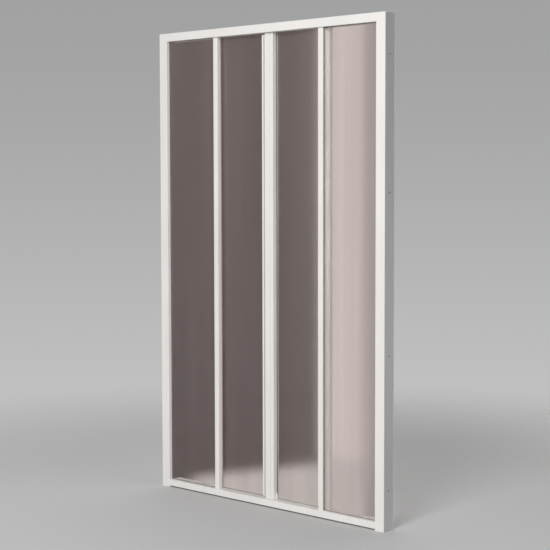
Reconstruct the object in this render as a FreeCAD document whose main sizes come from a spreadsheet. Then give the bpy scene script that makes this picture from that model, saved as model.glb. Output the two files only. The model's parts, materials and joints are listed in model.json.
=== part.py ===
"""Four-panel sliding shower door for a recess: two fixed outer panels and two leaves that part in the middle.

Millimetres. X runs along the doorway, Y from the room into the shower, Z up.
The origin is the middle of the footprint, on the shower tray.
"""
import FreeCAD, Part
import os

import Sketcher

doc = FreeCAD.newDocument("shower_door")

# Driving sizes: name, value and what it measures
SIZES = [
    ("overall_width", 1200, "wall to wall"),
    ("overall_height", 1900, "tray to top of the frame"),
    ("jamb_width", 43, "face of a jamb"),
    ("sill_height", 26.5, "face of the sill rail"),
    ("sill_lift", 6, "seal under the sill rail"),
    ("sill_floor", 3, "metal under the leaf channel"),
    ("profile_wall", 2, "wall of every extruded profile"),
    ("face_round", 0.8, "rounding of the frame's front edges"),
    ("glass_thickness", 4, "all four panes"),
    ("gasket_thickness", 1.5, "rubber on each side and at the edge of a pane"),
    ("gasket_lip", 1, "rubber that shows beside a profile"),
    ("glass_bite", 12, "depth of the glass slots in jambs and rails"),
    ("fixed_setback", 16, "frame face to face of the fixed glass"),
    ("seal_gap", 3.25, "fixed stile to trailing stile"),
    ("rail_play", 1.25, "leaf rail to each side of its channel"),
    ("running_gap", 0.5, "leaf to the rails above and below"),
    ("clearance", 0.3, "pieces that pass close by each other"),
    ("push_fit", 0.05, "pin or screw in its hole, on the radius"),
    ("stile_bite", 10, "depth of the glass slot in a stile"),
    ("fixed_panel_width", 288, "jamb to far edge of the fixed stile"),
    ("fixed_stile_width", 24, "face of a fixed stile"),
    ("stile_front_cover", 6.1, "fixed stile in front of its glass slot"),
    ("stile_back_cover", 5.5, "fixed stile behind its glass slot"),
    ("stile_round", 3, "soft front edges of the fixed stiles"),
    ("meeting_setback", 17, "frame face to face of the meeting stiles"),
    ("meeting_half_width", 29.5, "middle of the doorway to edge of a meeting stile"),
    ("meeting_face", 2, "middle of the doorway to closing face of a stile"),
    ("closing_half_width", 13, "half of the closing strip"),
    ("closing_proud", 2, "closing strip in front of the stiles' faces"),
    ("closing_seat", 3.3, "closing strip behind the stiles' faces"),
    ("closing_gap", 0.4, "closing strip to the face of the right stile"),
    ("closing_reveal", 8, "shadow groove between the closing strip and the face of the left stile"),
    ("closing_recess", 9, "depth of the shadow groove"),
    ("end_notch", 6.5, "left meeting stile's face stops short of the rails"),
    ("trailing_stile_width", 28, "face of a trailing stile"),
    ("trailing_stile_depth", 18, "front to back of a trailing stile"),
    ("leaf_overlap", 42, "leaf edge past the inner edge of the fixed stile"),
    ("leaf_rail_height", 14, "top and bottom rails of a leaf"),
    ("leaf_rail_web", 4, "solid part of a leaf rail beyond the glass"),
    ("leaf_port_inset", 4, "stile screw beyond the bottom of the glass slot"),
    ("magnet_depth", 2, "groove of the magnet seal"),
    ("magnet_width", 8, "magnet seal, front to back"),
    ("track_headroom", 3.7, "roller to the ceiling of the head rail"),
    ("bead_width", 2, "bead that the rollers run on"),
    ("bead_height", 1.2, "bead above the shelf"),
    ("roller_wall", 3.45, "tyre of a roller round its bearing"),
    ("roller_width", 5, "roller along its axle"),
    ("roller_side_gap", 1.5, "roller to the walls beside its track"),
    ("roller_inset", 53, "middle of a roller to the end of its leaf"),
    ("bearing_wall", 1.95, "ring of a roller bearing"),
    ("axle_radius", 2.5, "roller axle"),
    ("axle_lift", 1.3, "base of the hanger bracket to the axle"),
    ("axle_flange", 1.5, "spacer flange between bracket and roller"),
    ("bracket_length", 36, "hanger bracket along the leaf"),
    ("bracket_thickness", 2, "hanger bracket sheet"),
    ("bracket_margin", 5.5, "hanger bracket above its axle"),
    ("bracket_screw_inset", 6, "hanger screw to the end of its bracket"),
    ("guide_length", 40, "guide shoe along the leaf"),
    ("guide_inset", 40, "guide shoe to the end of its leaf"),
    ("guide_gap", 1, "guide shoe to the floor of the sill channel"),
    ("guide_peg_radius", 2.5, "peg of a guide shoe in the bottom rail"),
    ("foot_width", 7.5, "stile foot along the leaf"),
    ("foot_depth", 7, "stile foot, front to back"),
    ("foot_height", 24, "stile foot"),
    ("foot_edge", 6, "upright edge of the stile foot under its slope"),
    ("foot_top", 2, "top of the stile foot along the leaf"),
    ("frame_screw_radius", 2.05, "screws through the jambs into the rails"),
    ("frame_screw_length", 30, "those screws in the rail"),
    ("leaf_screw_radius", 1.9, "screws through the leaf rails into the stiles"),
    ("leaf_screw_length", 25, "those screws in the stile"),
    ("hanger_screw_radius", 1.5, "screws of a hanger bracket"),
    ("lock_screw_radius", 1.95, "screws that lock a jamb to its wall channel"),
    ("lock_screw_inset", 12, "lock screw to the wall"),
    ("lock_screw_end", 300, "outer lock screws to the ends of the jamb"),
    ("lock_screw_reach", 4, "lock screw inside the wall channel"),
    ("screw_head_height", 1.2, "pan heads"),
    ("screw_head_rim", 1.5, "pan head beyond its shank"),
    ("cap_height", 2, "push-on cap over a lock screw"),
    ("cap_wall", 0.6, "top of a push-on cap"),
    ("cap_rim", 2, "push-on cap beyond the screw head"),
    ("port_wall", 1.4, "metal round a screw port"),
    ("channel_flange", 25, "wall channel flange"),
    ("wall_hole_radius", 2.75, "screw holes to the wall"),
    ("wall_hole_end", 150, "outer wall holes to the ends of the jamb"),
    ("wall_hole_pitch", 600, "inner pair of wall holes"),
    ("top_cap_plate", 1.5, "cover on top of a jamb"),
    ("top_cap_plug", 6, "plug under that cover"),
    ("bumper_length", 7.7, "end bumper along the channel"),
    ("bumper_height", 10, "end bumper"),
    ("peg_radius", 2.5, "peg of an end bumper"),
    ("peg_length", 4, "peg of an end bumper"),
    ("plug_length", 25, "plug in the end of a fixed stile"),
    ("tongue_length", 8, "plug tongue in the rail's slot"),
    ("filler_depth", 5, "filler strip in an empty slot"),
    ("seal_inset", 9, "sill seal behind the sill's face and in front of its back"),
    ("lip_width", 4, "root of a lip seal along the doorway"),
    ("lip_taper", 1.2, "lip seal narrows by this on each side"),
    ("lip_inset", 5.7, "lip seal to the glass side of the fixed stile"),
    ("weep_length", 20, "drain slot"),
    ("weep_height", 5, "drain slot"),
    ("weep_pitch", 260, "drain slots along the sill"),
]
WEEP_COUNT = 4

sheet = doc.addObject("Spreadsheet::Sheet", "sizes")
for row, (alias, number, note) in enumerate(SIZES, 1):
    sheet.set(f"A{row}", alias)
    sheet.set(f"B{row}", str(number))
    sheet.set(f"C{row}", note)
    sheet.setAlias(f"B{row}", alias)
doc.recompute()


class Sizes:
    """Gives sizes.word as the text of that cell for use in expressions."""

    def __getattr__(self, alias):
        return f"sizes.{alias}"


s = Sizes()

# Rollers
BEARING_RADIUS = f"({s.axle_radius} + {s.push_fit} + {s.bearing_wall})"
ROLLER_RADIUS = f"({BEARING_RADIUS} + {s.push_fit} + {s.roller_wall})"

# Front to back: the fixed glass, the leaf behind its stile, then the track behind the leaf
CHANNEL_HALF = (f"({s.glass_thickness} / 2 + {s.gasket_thickness}"
                f" + {s.profile_wall} + {s.rail_play})")
TRACK_DEPTH = f"({s.roller_width} + 2 * {s.roller_side_gap})"
DEPTH = (f"({s.fixed_setback} + {s.glass_thickness} + {s.gasket_thickness} + {s.stile_back_cover}"
         f" + {s.seal_gap} + {s.trailing_stile_depth} / 2 + {CHANNEL_HALF} + {TRACK_DEPTH}"
         f" + {s.profile_wall})")
FRONT = f"(-({DEPTH} + {s.cap_height}) / 2)"
BACK = f"({FRONT} + {DEPTH})"
FIXED_GLASS_FRONT = f"({FRONT} + {s.fixed_setback})"
FIXED_GLASS_BACK = f"({FIXED_GLASS_FRONT} + {s.glass_thickness})"
SLOT_FRONT = f"({FIXED_GLASS_FRONT} - {s.gasket_thickness})"
SLOT_BACK = f"({FIXED_GLASS_BACK} + {s.gasket_thickness})"
FIXED_STILE_FRONT = f"({SLOT_FRONT} - {s.stile_front_cover})"
FIXED_STILE_BACK = f"({SLOT_BACK} + {s.stile_back_cover})"
TRAILING_FRONT = f"({FIXED_STILE_BACK} + {s.seal_gap})"
TRAILING_BACK = f"({TRAILING_FRONT} + {s.trailing_stile_depth})"
LEAF_MID = f"({TRAILING_FRONT} + {s.trailing_stile_depth} / 2)"
CHANNEL_FRONT = f"({LEAF_MID} - {CHANNEL_HALF})"
CHANNEL_BACK = f"({LEAF_MID} + {CHANNEL_HALF})"
LEAF_GLASS_FRONT = f"({LEAF_MID} - {s.glass_thickness} / 2)"
LEAF_GLASS_BACK = f"({LEAF_MID} + {s.glass_thickness} / 2)"
LEAF_SLOT_FRONT = f"({LEAF_GLASS_FRONT} - {s.gasket_thickness})"
LEAF_SLOT_BACK = f"({LEAF_GLASS_BACK} + {s.gasket_thickness})"
LEAF_RAIL_FRONT = f"({CHANNEL_FRONT} + {s.rail_play})"
LEAF_RAIL_BACK = f"({CHANNEL_BACK} - {s.rail_play})"
BRACKET_FRONT = f"({LEAF_RAIL_BACK} - {s.bracket_thickness})"
HANGER_SCREW_MID = f"(({LEAF_RAIL_FRONT} + {BRACKET_FRONT}) / 2)"
MEETING_FRONT = f"({FRONT} + {s.meeting_setback})"
CLOSING_FRONT = f"({MEETING_FRONT} - {s.closing_proud})"
CLOSING_BACK = f"({MEETING_FRONT} + {s.closing_seat})"
STEP_FRONT = {
    "left": f"({MEETING_FRONT} + {s.closing_recess})",
    "right": f"({CLOSING_BACK} + {s.clearance})",
}
FRONT_CHAMBER_BACK = f"({SLOT_FRONT} - {s.profile_wall})"
FRONT_PORT = f"(({FRONT} + {s.profile_wall} + {FRONT_CHAMBER_BACK}) / 2)"
TRACK_MID = f"({CHANNEL_BACK} + {TRACK_DEPTH} / 2)"

# Along the doorway, from its middle outwards
HALF_WIDTH = f"({s.overall_width} / 2)"
JAMB_FACE = f"({HALF_WIDTH} - {s.jamb_width})"
JAMB_WEB = f"({JAMB_FACE} + {s.profile_wall})"
FIXED_STILE_NEAR = f"({JAMB_FACE} - {s.fixed_panel_width})"
FIXED_STILE_FAR = f"({FIXED_STILE_NEAR} + {s.fixed_stile_width})"
TRAILING_FAR = f"({FIXED_STILE_NEAR} + {s.leaf_overlap})"
TRAILING_NEAR = f"({TRAILING_FAR} - {s.trailing_stile_width})"
MEETING_SLOT = f"({s.meeting_half_width} - {s.stile_bite})"
TRAILING_SLOT = f"({TRAILING_NEAR} + {s.stile_bite})"
MEETING_PORT = f"({MEETING_SLOT} - {s.leaf_port_inset})"
TRAILING_PORT = f"({TRAILING_SLOT} + {s.leaf_port_inset})"
STEP_EDGE = {
    "left": f"({s.closing_half_width} + {s.closing_reveal})",
    "right": f"({s.closing_half_width} + {s.closing_gap})",
}
CHANNEL_FLANGE_END = f"({HALF_WIDTH} - {s.channel_flange})"
LOCK_SCREW = f"({HALF_WIDTH} - {s.lock_screw_inset})"
ROLLER_PLACES = {
    "inner": f"({s.meeting_face} + {s.roller_inset})",
    "outer": f"({TRAILING_FAR} - {s.roller_inset})",
}
GUIDE_PLACES = {
    "inner": f"({s.meeting_face} + {s.guide_inset})",
    "outer": f"({TRAILING_FAR} - {s.guide_inset} - {s.guide_length})",
}

# Heights
TOP = s.overall_height
JAMB_TOP = f"({TOP} - {s.top_cap_plate})"
AXLE_HEIGHT = f"({TOP} - {s.profile_wall} - {s.track_headroom} - {ROLLER_RADIUS})"
TRACK = f"({AXLE_HEIGHT} - {ROLLER_RADIUS} - {s.clearance})"
BRACKET_BASE_TOP = f"({AXLE_HEIGHT} - {s.axle_radius} - {s.axle_lift})"
TOP_RAIL_TOP = f"({BRACKET_BASE_TOP} - {s.bracket_thickness})"
LEAF_TOP = f"({TOP_RAIL_TOP} - {s.leaf_rail_height})"
HEAD_LOW = f"({LEAF_TOP} + {s.running_gap})"
HEAD_SLOT_TOP = f"({HEAD_LOW} + {s.glass_bite})"
SILL_TOP = f"({s.sill_lift} + {s.sill_height})"
SILL_SLOT_FLOOR = f"({SILL_TOP} - {s.glass_bite})"
SILL_FLOOR = f"({s.sill_lift} + {s.sill_floor})"
LEAF_LOW = f"({SILL_TOP} + {s.running_gap})"
TOP_RAIL_WEB = f"({TOP_RAIL_TOP} - {s.leaf_rail_web})"
BOTTOM_RAIL_LOW = f"({LEAF_LOW} - {s.leaf_rail_height})"
BOTTOM_RAIL_WEB = f"({BOTTOM_RAIL_LOW} + {s.leaf_rail_web})"
PORT_RADIUS = f"({s.frame_screw_radius} + {s.push_fit})"
LEAF_PORT_RADIUS = f"({s.leaf_screw_radius} + {s.push_fit})"
PORT_HALF = f"({PORT_RADIUS} + {s.port_wall})"
HEAD_PORT = f"(({HEAD_LOW} + {TOP}) / 2)"
HEAD_BACK_PORT = f"(({HEAD_LOW} + {TRACK}) / 2)"
SILL_PORT = f"(({s.sill_lift} + {SILL_TOP}) / 2)"

SIDES = (("left", -1), ("right", 1))
nodes = {}


def value(expression):
    """Number that an expression stands for."""
    return float(sheet.evalExpression(expression))


def keep(name, piece):
    """Gives a finished piece its name and sets it aside for writing."""
    piece.Label = name
    nodes[name] = piece
    return piece


def sided(sign, low, high):
    """A stretch measured outwards from the middle, as low and high X on that side."""
    if sign > 0:
        return low, high
    return f"(-({high}))", f"(-({low}))"


def grown(low, high, by):
    """A stretch made longer by the same amount at both ends."""
    return f"({low} - ({by}))", f"({high} + ({by}))"


def box(name, x, y, z):
    """Block between two corners, each given as (low, high) along an axis."""
    block = doc.addObject("Part::Box", name)
    for side, place, (low, high) in zip(("Length", "Width", "Height"), "xyz", (x, y, z)):
        block.setExpression(side, f"{high} - {low}")
        block.setExpression(f"Placement.Base.{place}", low)
    return block


TURNS = {
    "+x": FreeCAD.Rotation(FreeCAD.Vector(0, 1, 0), 90),
    "-x": FreeCAD.Rotation(FreeCAD.Vector(0, 1, 0), -90),
    "+y": FreeCAD.Rotation(FreeCAD.Vector(1, 0, 0), -90),
    "-y": FreeCAD.Rotation(FreeCAD.Vector(1, 0, 0), 90),
    "+z": FreeCAD.Rotation(),
    "-z": FreeCAD.Rotation(FreeCAD.Vector(1, 0, 0), 180),
}


def put(piece, place, axis):
    """Turns a piece's own Z to an axis and binds its place."""
    piece.Placement = FreeCAD.Placement(FreeCAD.Vector(), TURNS[axis])
    for letter, expression in zip("xyz", place):
        piece.setExpression(f"Placement.Base.{letter}", expression)
    return piece


def pin(name, place, axis, radius, length):
    """Round bar that starts at a place and runs along an axis."""
    bar = doc.addObject("Part::Cylinder", name)
    bar.setExpression("Radius", radius)
    bar.setExpression("Height", length)
    return put(bar, place, axis)


def group(name, pieces):
    """Several solids in one object."""
    compound = doc.addObject("Part::Compound", name)
    compound.Links = pieces
    return compound


def cut(name, base, tools):
    """Takes tools away from a base."""
    result = doc.addObject("Part::Cut", name)
    result.Base = base
    result.Tool = tools[0] if len(tools) == 1 else group(name + "_tools", tools)
    return result


def fuse(name, pieces):
    """Joins touching blocks into one solid."""
    result = doc.addObject("Part::MultiFuse", name)
    result.Shapes = pieces
    result.Refine = True
    return result


def add_loop(sketch, corners):
    """Closed outline whose corners are bound to (across, up) expressions."""
    places = [(value(across), value(up)) for across, up in corners]
    first = sketch.GeometryCount
    count = len(places)
    for k in range(count):
        start = FreeCAD.Vector(*places[k], 0)
        end = FreeCAD.Vector(*places[(k + 1) % count], 0)
        sketch.addGeometry(Part.LineSegment(start, end))
    for k in range(count):
        after = first + (k + 1) % count
        sketch.addConstraint(Sketcher.Constraint("Coincident", first + k, 2, after, 1))
    for k, corner in enumerate(corners):
        for kind, number, expression in zip(("DistanceX", "DistanceY"), places[k], corner):
            index = sketch.addConstraint(Sketcher.Constraint(kind, -1, 1, first + k, 1, number))
            sketch.setExpression(f"Constraints[{index}]", expression)


def add_circle(sketch, across, up, radius):
    """Round hole in a profile."""
    middle = FreeCAD.Vector(value(across), value(up), 0)
    circle = sketch.addGeometry(Part.Circle(middle, FreeCAD.Vector(0, 0, 1), value(radius)))
    for kind, start, number, expression in (
        ("DistanceX", True, middle.x, across),
        ("DistanceY", True, middle.y, up),
        ("Radius", False, value(radius), radius),
    ):
        if start:
            constraint = Sketcher.Constraint(kind, -1, 1, circle, 3, number)
        else:
            constraint = Sketcher.Constraint(kind, circle, number)
        index = sketch.addConstraint(constraint)
        sketch.setExpression(f"Constraints[{index}]", expression)


def rectangle(low_across, high_across, low_up, high_up):
    """Corners of an upright rectangle."""
    return [(low_across, low_up), (high_across, low_up), (high_across, high_up), (low_across, high_up)]


def new_sketch(body, plane):
    """Sketch on one of a body's own origin planes."""
    sketch = body.newObject("Sketcher::SketchObject", body.Name + "_profile")
    support = next(p for p in body.Origin.OriginFeatures if p.Role == plane)
    sketch.AttachmentSupport = (support, [""])
    sketch.MapMode = "FlatFace"
    return sketch


def extrusion(name, plane, loops, start, end, circles=(), rounds=(), radius=None):
    """Profile drawn across a plane and padded between two places along its normal.

    rounds holds the profile corners whose long edges are rounded.
    """
    body = doc.addObject("PartDesign::Body", name)
    sketch = new_sketch(body, plane)
    for loop in loops:
        add_loop(sketch, loop)
    for circle in circles:
        add_circle(sketch, *circle)
    sketch.setExpression("AttachmentOffset.Base.z", start)
    pad = body.newObject("PartDesign::Pad", name + "_pad")
    pad.Profile = sketch
    pad.setExpression("Length", f"{end} - {start}")
    doc.recompute()
    if rounds:
        along = {"XY_Plane": (0, 1), "YZ_Plane": (1, 2)}[plane]
        wanted = [(value(across), value(up)) for across, up in rounds]
        edges = []
        for number, edge in enumerate(pad.Shape.Edges, 1):
            ends = [(v.Point[along[0]], v.Point[along[1]]) for v in edge.Vertexes]
            for corner in wanted:
                if all(abs(a - b) < 1e-6 for place in ends for a, b in zip(place, corner)):
                    edges.append(f"Edge{number}")
        fillet = body.newObject("PartDesign::Fillet", name + "_rounding")
        fillet.Base = (pad, edges)
        fillet.setExpression("Radius", radius)
        doc.recompute()
    return body


def turned(name, profile, place, axis):
    """Profile of (radius, along) corners turned about a line, then put in place."""
    body = doc.addObject("PartDesign::Body", name)
    sketch = new_sketch(body, "XZ_Plane")
    add_loop(sketch, profile)
    revolution = body.newObject("PartDesign::Revolution", name + "_turned")
    revolution.Profile = sketch
    revolution.ReferenceAxis = (sketch, ["V_Axis"])
    revolution.Angle = 360
    return put(body, place, axis)


def screw(name, place, axis, radius, length):
    """Pan-head screw: its shank runs along the axis from the seat of its head."""
    head = f"({radius} + {s.screw_head_rim})"
    profile = [
        ("0", f"-{s.screw_head_height}"),
        (f"{head} - {s.screw_head_height} / 2", f"-{s.screw_head_height}"),
        (head, f"-{s.screw_head_height} / 2"),
        (head, "0"),
        (radius, "0"),
        (radius, f"{length} - {radius}"),
        ("0", length),
    ]
    return turned(name, profile, place, axis)


def flipped(sign, corners):
    """Profile drawn for the right side, mirrored for the left."""
    return [(f"{sign} * ({across})", up) for across, up in corners]


def glass_and_gasket(glass_name, gasket_name, sign, across, y, up, bites):
    """Pane between four slot floors, with a rubber ring wrapped round its edges.

    across and up are the slot floors; bites are the slot depths at the four sides in that order.
    """
    rubber = s.gasket_thickness
    pane_across = (f"({across[0]} + {rubber})", f"({across[1]} - {rubber})")
    pane_up = (f"({up[0]} + {rubber})", f"({up[1]} - {rubber})")
    keep(glass_name, box(glass_name, sided(sign, *pane_across), y, pane_up))
    reach = [f"({bite} + {s.gasket_lip})" for bite in bites]
    window_across = (f"({across[0]} + {reach[0]})", f"({across[1]} - {reach[1]})")
    window_up = (f"({up[0]} + {reach[2]})", f"({up[1]} - {reach[3]})")
    block = box(gasket_name + "_block", sided(sign, *across), grown(*y, rubber), up)
    window = box(gasket_name + "_window", sided(sign, *window_across), grown(*y, rubber), window_up)
    seat = box(gasket_name + "_seat", sided(sign, *pane_across), y, pane_up)
    keep(gasket_name, cut(gasket_name, block, [window, seat]))


def rail_screw_places():
    """Depth and height of the screws that hold the two rails to a jamb."""
    return (
        (FRONT_PORT, HEAD_PORT),
        (TRACK_MID, HEAD_BACK_PORT),
        (FRONT_PORT, SILL_PORT),
        (TRACK_MID, SILL_PORT),
    )


def make_jamb(side, sign):
    """Upright that slips over the wall channel, with a slot for the fixed glass."""
    slot = f"({JAMB_FACE} + {s.glass_bite})"
    outline = [
        (HALF_WIDTH, FRONT),
        (JAMB_FACE, FRONT),
        (JAMB_FACE, SLOT_FRONT),
        (slot, SLOT_FRONT),
        (slot, SLOT_BACK),
        (JAMB_FACE, SLOT_BACK),
        (JAMB_FACE, BACK),
        (HALF_WIDTH, BACK),
        (HALF_WIDTH, f"{BACK} - {s.profile_wall}"),
        (JAMB_WEB, f"{BACK} - {s.profile_wall}"),
        (JAMB_WEB, f"{SLOT_BACK} + {s.profile_wall}"),
        (f"{slot} + {s.profile_wall}", f"{SLOT_BACK} + {s.profile_wall}"),
        (f"{slot} + {s.profile_wall}", FRONT_CHAMBER_BACK),
        (JAMB_WEB, FRONT_CHAMBER_BACK),
        (JAMB_WEB, f"{FRONT} + {s.profile_wall}"),
        (HALF_WIDTH, f"{FRONT} + {s.profile_wall}"),
    ]
    corners = flipped(sign, [(JAMB_FACE, FRONT), (JAMB_FACE, BACK)])
    profile = extrusion(f"jamb_{side}_profile", "XY_Plane", [flipped(sign, outline)], "0", JAMB_TOP,
                        rounds=corners, radius=s.face_round)
    inward = "-x" if sign > 0 else "+x"
    holes = []
    for y, z in rail_screw_places():
        start = (f"{sign} * {JAMB_WEB}", y, z)
        holes.append(pin(f"jamb_{side}_rail_hole", start, inward, PORT_RADIUS, s.profile_wall))
    for end, z in bumper_heights():
        start = (f"{sign} * {JAMB_WEB}", LEAF_MID, z)
        holes.append(pin(f"jamb_{side}_{end}_peg_hole", start, inward,
                         f"{s.peg_radius} + {s.push_fit}", s.profile_wall))
    for z in lock_screw_heights():
        start = (f"{sign} * {LOCK_SCREW}", BACK, z)
        holes.append(pin(f"jamb_{side}_lock_hole", start, "-y",
                         f"{s.lock_screw_radius} + {s.push_fit}", s.profile_wall))
    keep(f"jamb_{side}", cut(f"jamb_{side}", profile, holes))


def lock_screw_heights():
    """Three lock screws up each jamb."""
    return s.lock_screw_end, f"({TOP} / 2)", f"({TOP} - {s.lock_screw_end})"


def wall_hole_heights():
    """Four screw holes up each wall: one near each end and a pair about the middle."""
    return (
        s.wall_hole_end,
        f"(({TOP} - {s.wall_hole_pitch}) / 2)",
        f"(({TOP} + {s.wall_hole_pitch}) / 2)",
        f"({TOP} - {s.wall_hole_end})",
    )


def bumper_heights():
    """Middles of the end bumpers, level with the leaf rails."""
    return (
        ("top", f"(({LEAF_TOP} + {TOP_RAIL_TOP}) / 2)"),
        ("bottom", f"(({LEAF_LOW} + {BOTTOM_RAIL_LOW}) / 2)"),
    )


def make_wall_channel(side, sign):
    """Channel screwed to the wall inside the jamb."""
    web = f"({HALF_WIDTH} - {s.profile_wall})"
    low = f"({FRONT} + {s.profile_wall} + {s.clearance})"
    high = f"({BACK} - {s.profile_wall} - {s.clearance})"
    outline = [
        (HALF_WIDTH, low),
        (CHANNEL_FLANGE_END, low),
        (CHANNEL_FLANGE_END, f"{low} + {s.profile_wall}"),
        (web, f"{low} + {s.profile_wall}"),
        (web, f"{high} - {s.profile_wall}"),
        (CHANNEL_FLANGE_END, f"{high} - {s.profile_wall}"),
        (CHANNEL_FLANGE_END, high),
        (HALF_WIDTH, high),
    ]
    name = f"wall_channel_{side}"
    profile = extrusion(name + "_profile", "XY_Plane", [flipped(sign, outline)], "0", JAMB_TOP)
    inward = "-x" if sign > 0 else "+x"
    holes = []
    for z in wall_hole_heights():
        start = (f"{sign} * {HALF_WIDTH}", f"({low} + {high}) / 2", z)
        holes.append(pin(f"wall_hole_{side}", start, inward, s.wall_hole_radius, s.profile_wall))
    for z in lock_screw_heights():
        start = (f"{sign} * {LOCK_SCREW}", high, z)
        holes.append(pin(f"channel_{side}_lock_hole", start, "-y",
                         f"{s.lock_screw_radius} + {s.push_fit}", s.profile_wall))
    keep(name, cut(name, profile, holes))


def make_head_rail():
    """Rail over the doorway: fixed glass slot, leaf channel and the shelf that the rollers run on."""
    wall = s.profile_wall
    ceiling = f"({TOP} - {wall})"
    shelf_back = f"({BACK} - {wall})"
    bead_low = f"({TRACK_MID} - {s.bead_width} / 2)"
    bead_high = f"({TRACK_MID} + {s.bead_width} / 2)"
    bead_top = f"({TRACK} + {s.bead_height})"
    outline = [
        (FRONT, TOP), (BACK, TOP), (BACK, HEAD_LOW), (CHANNEL_BACK, HEAD_LOW), (CHANNEL_BACK, TRACK),
        (bead_low, TRACK), (bead_low, bead_top), (bead_high, bead_top), (bead_high, TRACK),
        (shelf_back, TRACK), (shelf_back, ceiling), (CHANNEL_FRONT, ceiling), (CHANNEL_FRONT, HEAD_LOW),
        (SLOT_BACK, HEAD_LOW), (SLOT_BACK, HEAD_SLOT_TOP), (SLOT_FRONT, HEAD_SLOT_TOP),
        (SLOT_FRONT, HEAD_LOW), (FRONT, HEAD_LOW),
    ]
    front_low = f"{FRONT} + {wall}"
    floor = f"{HEAD_LOW} + {wall}"
    chambers = [
        rectangle(front_low, FRONT_CHAMBER_BACK, floor, f"{HEAD_PORT} - {PORT_HALF}"),
        rectangle(front_low, FRONT_CHAMBER_BACK, f"{HEAD_PORT} + {PORT_HALF}", ceiling),
        rectangle(SLOT_FRONT, SLOT_BACK, f"{HEAD_SLOT_TOP} + {wall}", ceiling),
        rectangle(f"{SLOT_BACK} + {wall}", f"{CHANNEL_FRONT} - {wall}", floor, ceiling),
    ]
    ports = [(FRONT_PORT, HEAD_PORT, PORT_RADIUS), (TRACK_MID, HEAD_BACK_PORT, PORT_RADIUS)]
    keep("head_rail", extrusion("head_rail", "YZ_Plane", [outline] + chambers, f"-{JAMB_FACE}", JAMB_FACE,
                                ports, [(FRONT, TOP), (FRONT, HEAD_LOW)], s.face_round))


def make_sill_rail():
    """Rail under the doorway: fixed glass slot, leaf channel and drain slots to the shower side."""
    wall = s.profile_wall
    outline = [
        (FRONT, s.sill_lift), (BACK, s.sill_lift), (BACK, SILL_TOP), (CHANNEL_BACK, SILL_TOP),
        (CHANNEL_BACK, SILL_FLOOR), (CHANNEL_FRONT, SILL_FLOOR), (CHANNEL_FRONT, SILL_TOP),
        (SLOT_BACK, SILL_TOP), (SLOT_BACK, SILL_SLOT_FLOOR), (SLOT_FRONT, SILL_SLOT_FLOOR),
        (SLOT_FRONT, SILL_TOP), (FRONT, SILL_TOP),
    ]
    front_low = f"{FRONT} + {wall}"
    back_low = f"{CHANNEL_BACK} + {wall}"
    back_high = f"{BACK} - {wall}"
    floor = f"{s.sill_lift} + {wall}"
    ceiling = f"{SILL_TOP} - {wall}"
    port_low = f"{SILL_PORT} - {PORT_HALF}"
    port_high = f"{SILL_PORT} + {PORT_HALF}"
    chambers = [
        rectangle(front_low, FRONT_CHAMBER_BACK, floor, port_low),
        rectangle(front_low, FRONT_CHAMBER_BACK, port_high, ceiling),
        rectangle(SLOT_FRONT, SLOT_BACK, floor, f"{SILL_SLOT_FLOOR} - {wall}"),
        rectangle(f"{SLOT_BACK} + {wall}", f"{CHANNEL_FRONT} - {wall}", floor, ceiling),
        rectangle(back_low, back_high, floor, port_low),
        rectangle(back_low, back_high, port_high, ceiling),
    ]
    ports = [(FRONT_PORT, SILL_PORT, PORT_RADIUS), (TRACK_MID, SILL_PORT, PORT_RADIUS)]
    profile = extrusion("sill_rail_profile", "YZ_Plane", [outline] + chambers, f"-{JAMB_FACE}", JAMB_FACE,
                        ports, [(FRONT, SILL_TOP), (FRONT, s.sill_lift)], s.face_round)
    slots = []
    for number in range(WEEP_COUNT):
        middle = f"({number} - ({WEEP_COUNT} - 1) / 2) * {s.weep_pitch}"
        x = grown(f"({middle})", f"({middle})", f"{s.weep_length} / 2")
        z = (SILL_FLOOR, f"({SILL_FLOOR} + {s.weep_height})")
        slots.append(box(f"weep_{number}", x, (CHANNEL_BACK, BACK), z))
    keep("sill_rail", cut("sill_rail", profile, slots))


def make_sill_seal():
    """Soft strip that beds the sill rail on the tray."""
    low = f"({FRONT} + {s.seal_inset})"
    high = f"({BACK} - {s.seal_inset})"
    outline = rectangle(low, high, "0", s.sill_lift)
    keep("sill_seal", extrusion("sill_seal", "YZ_Plane", [outline], f"-{JAMB_FACE}", JAMB_FACE))


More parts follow.
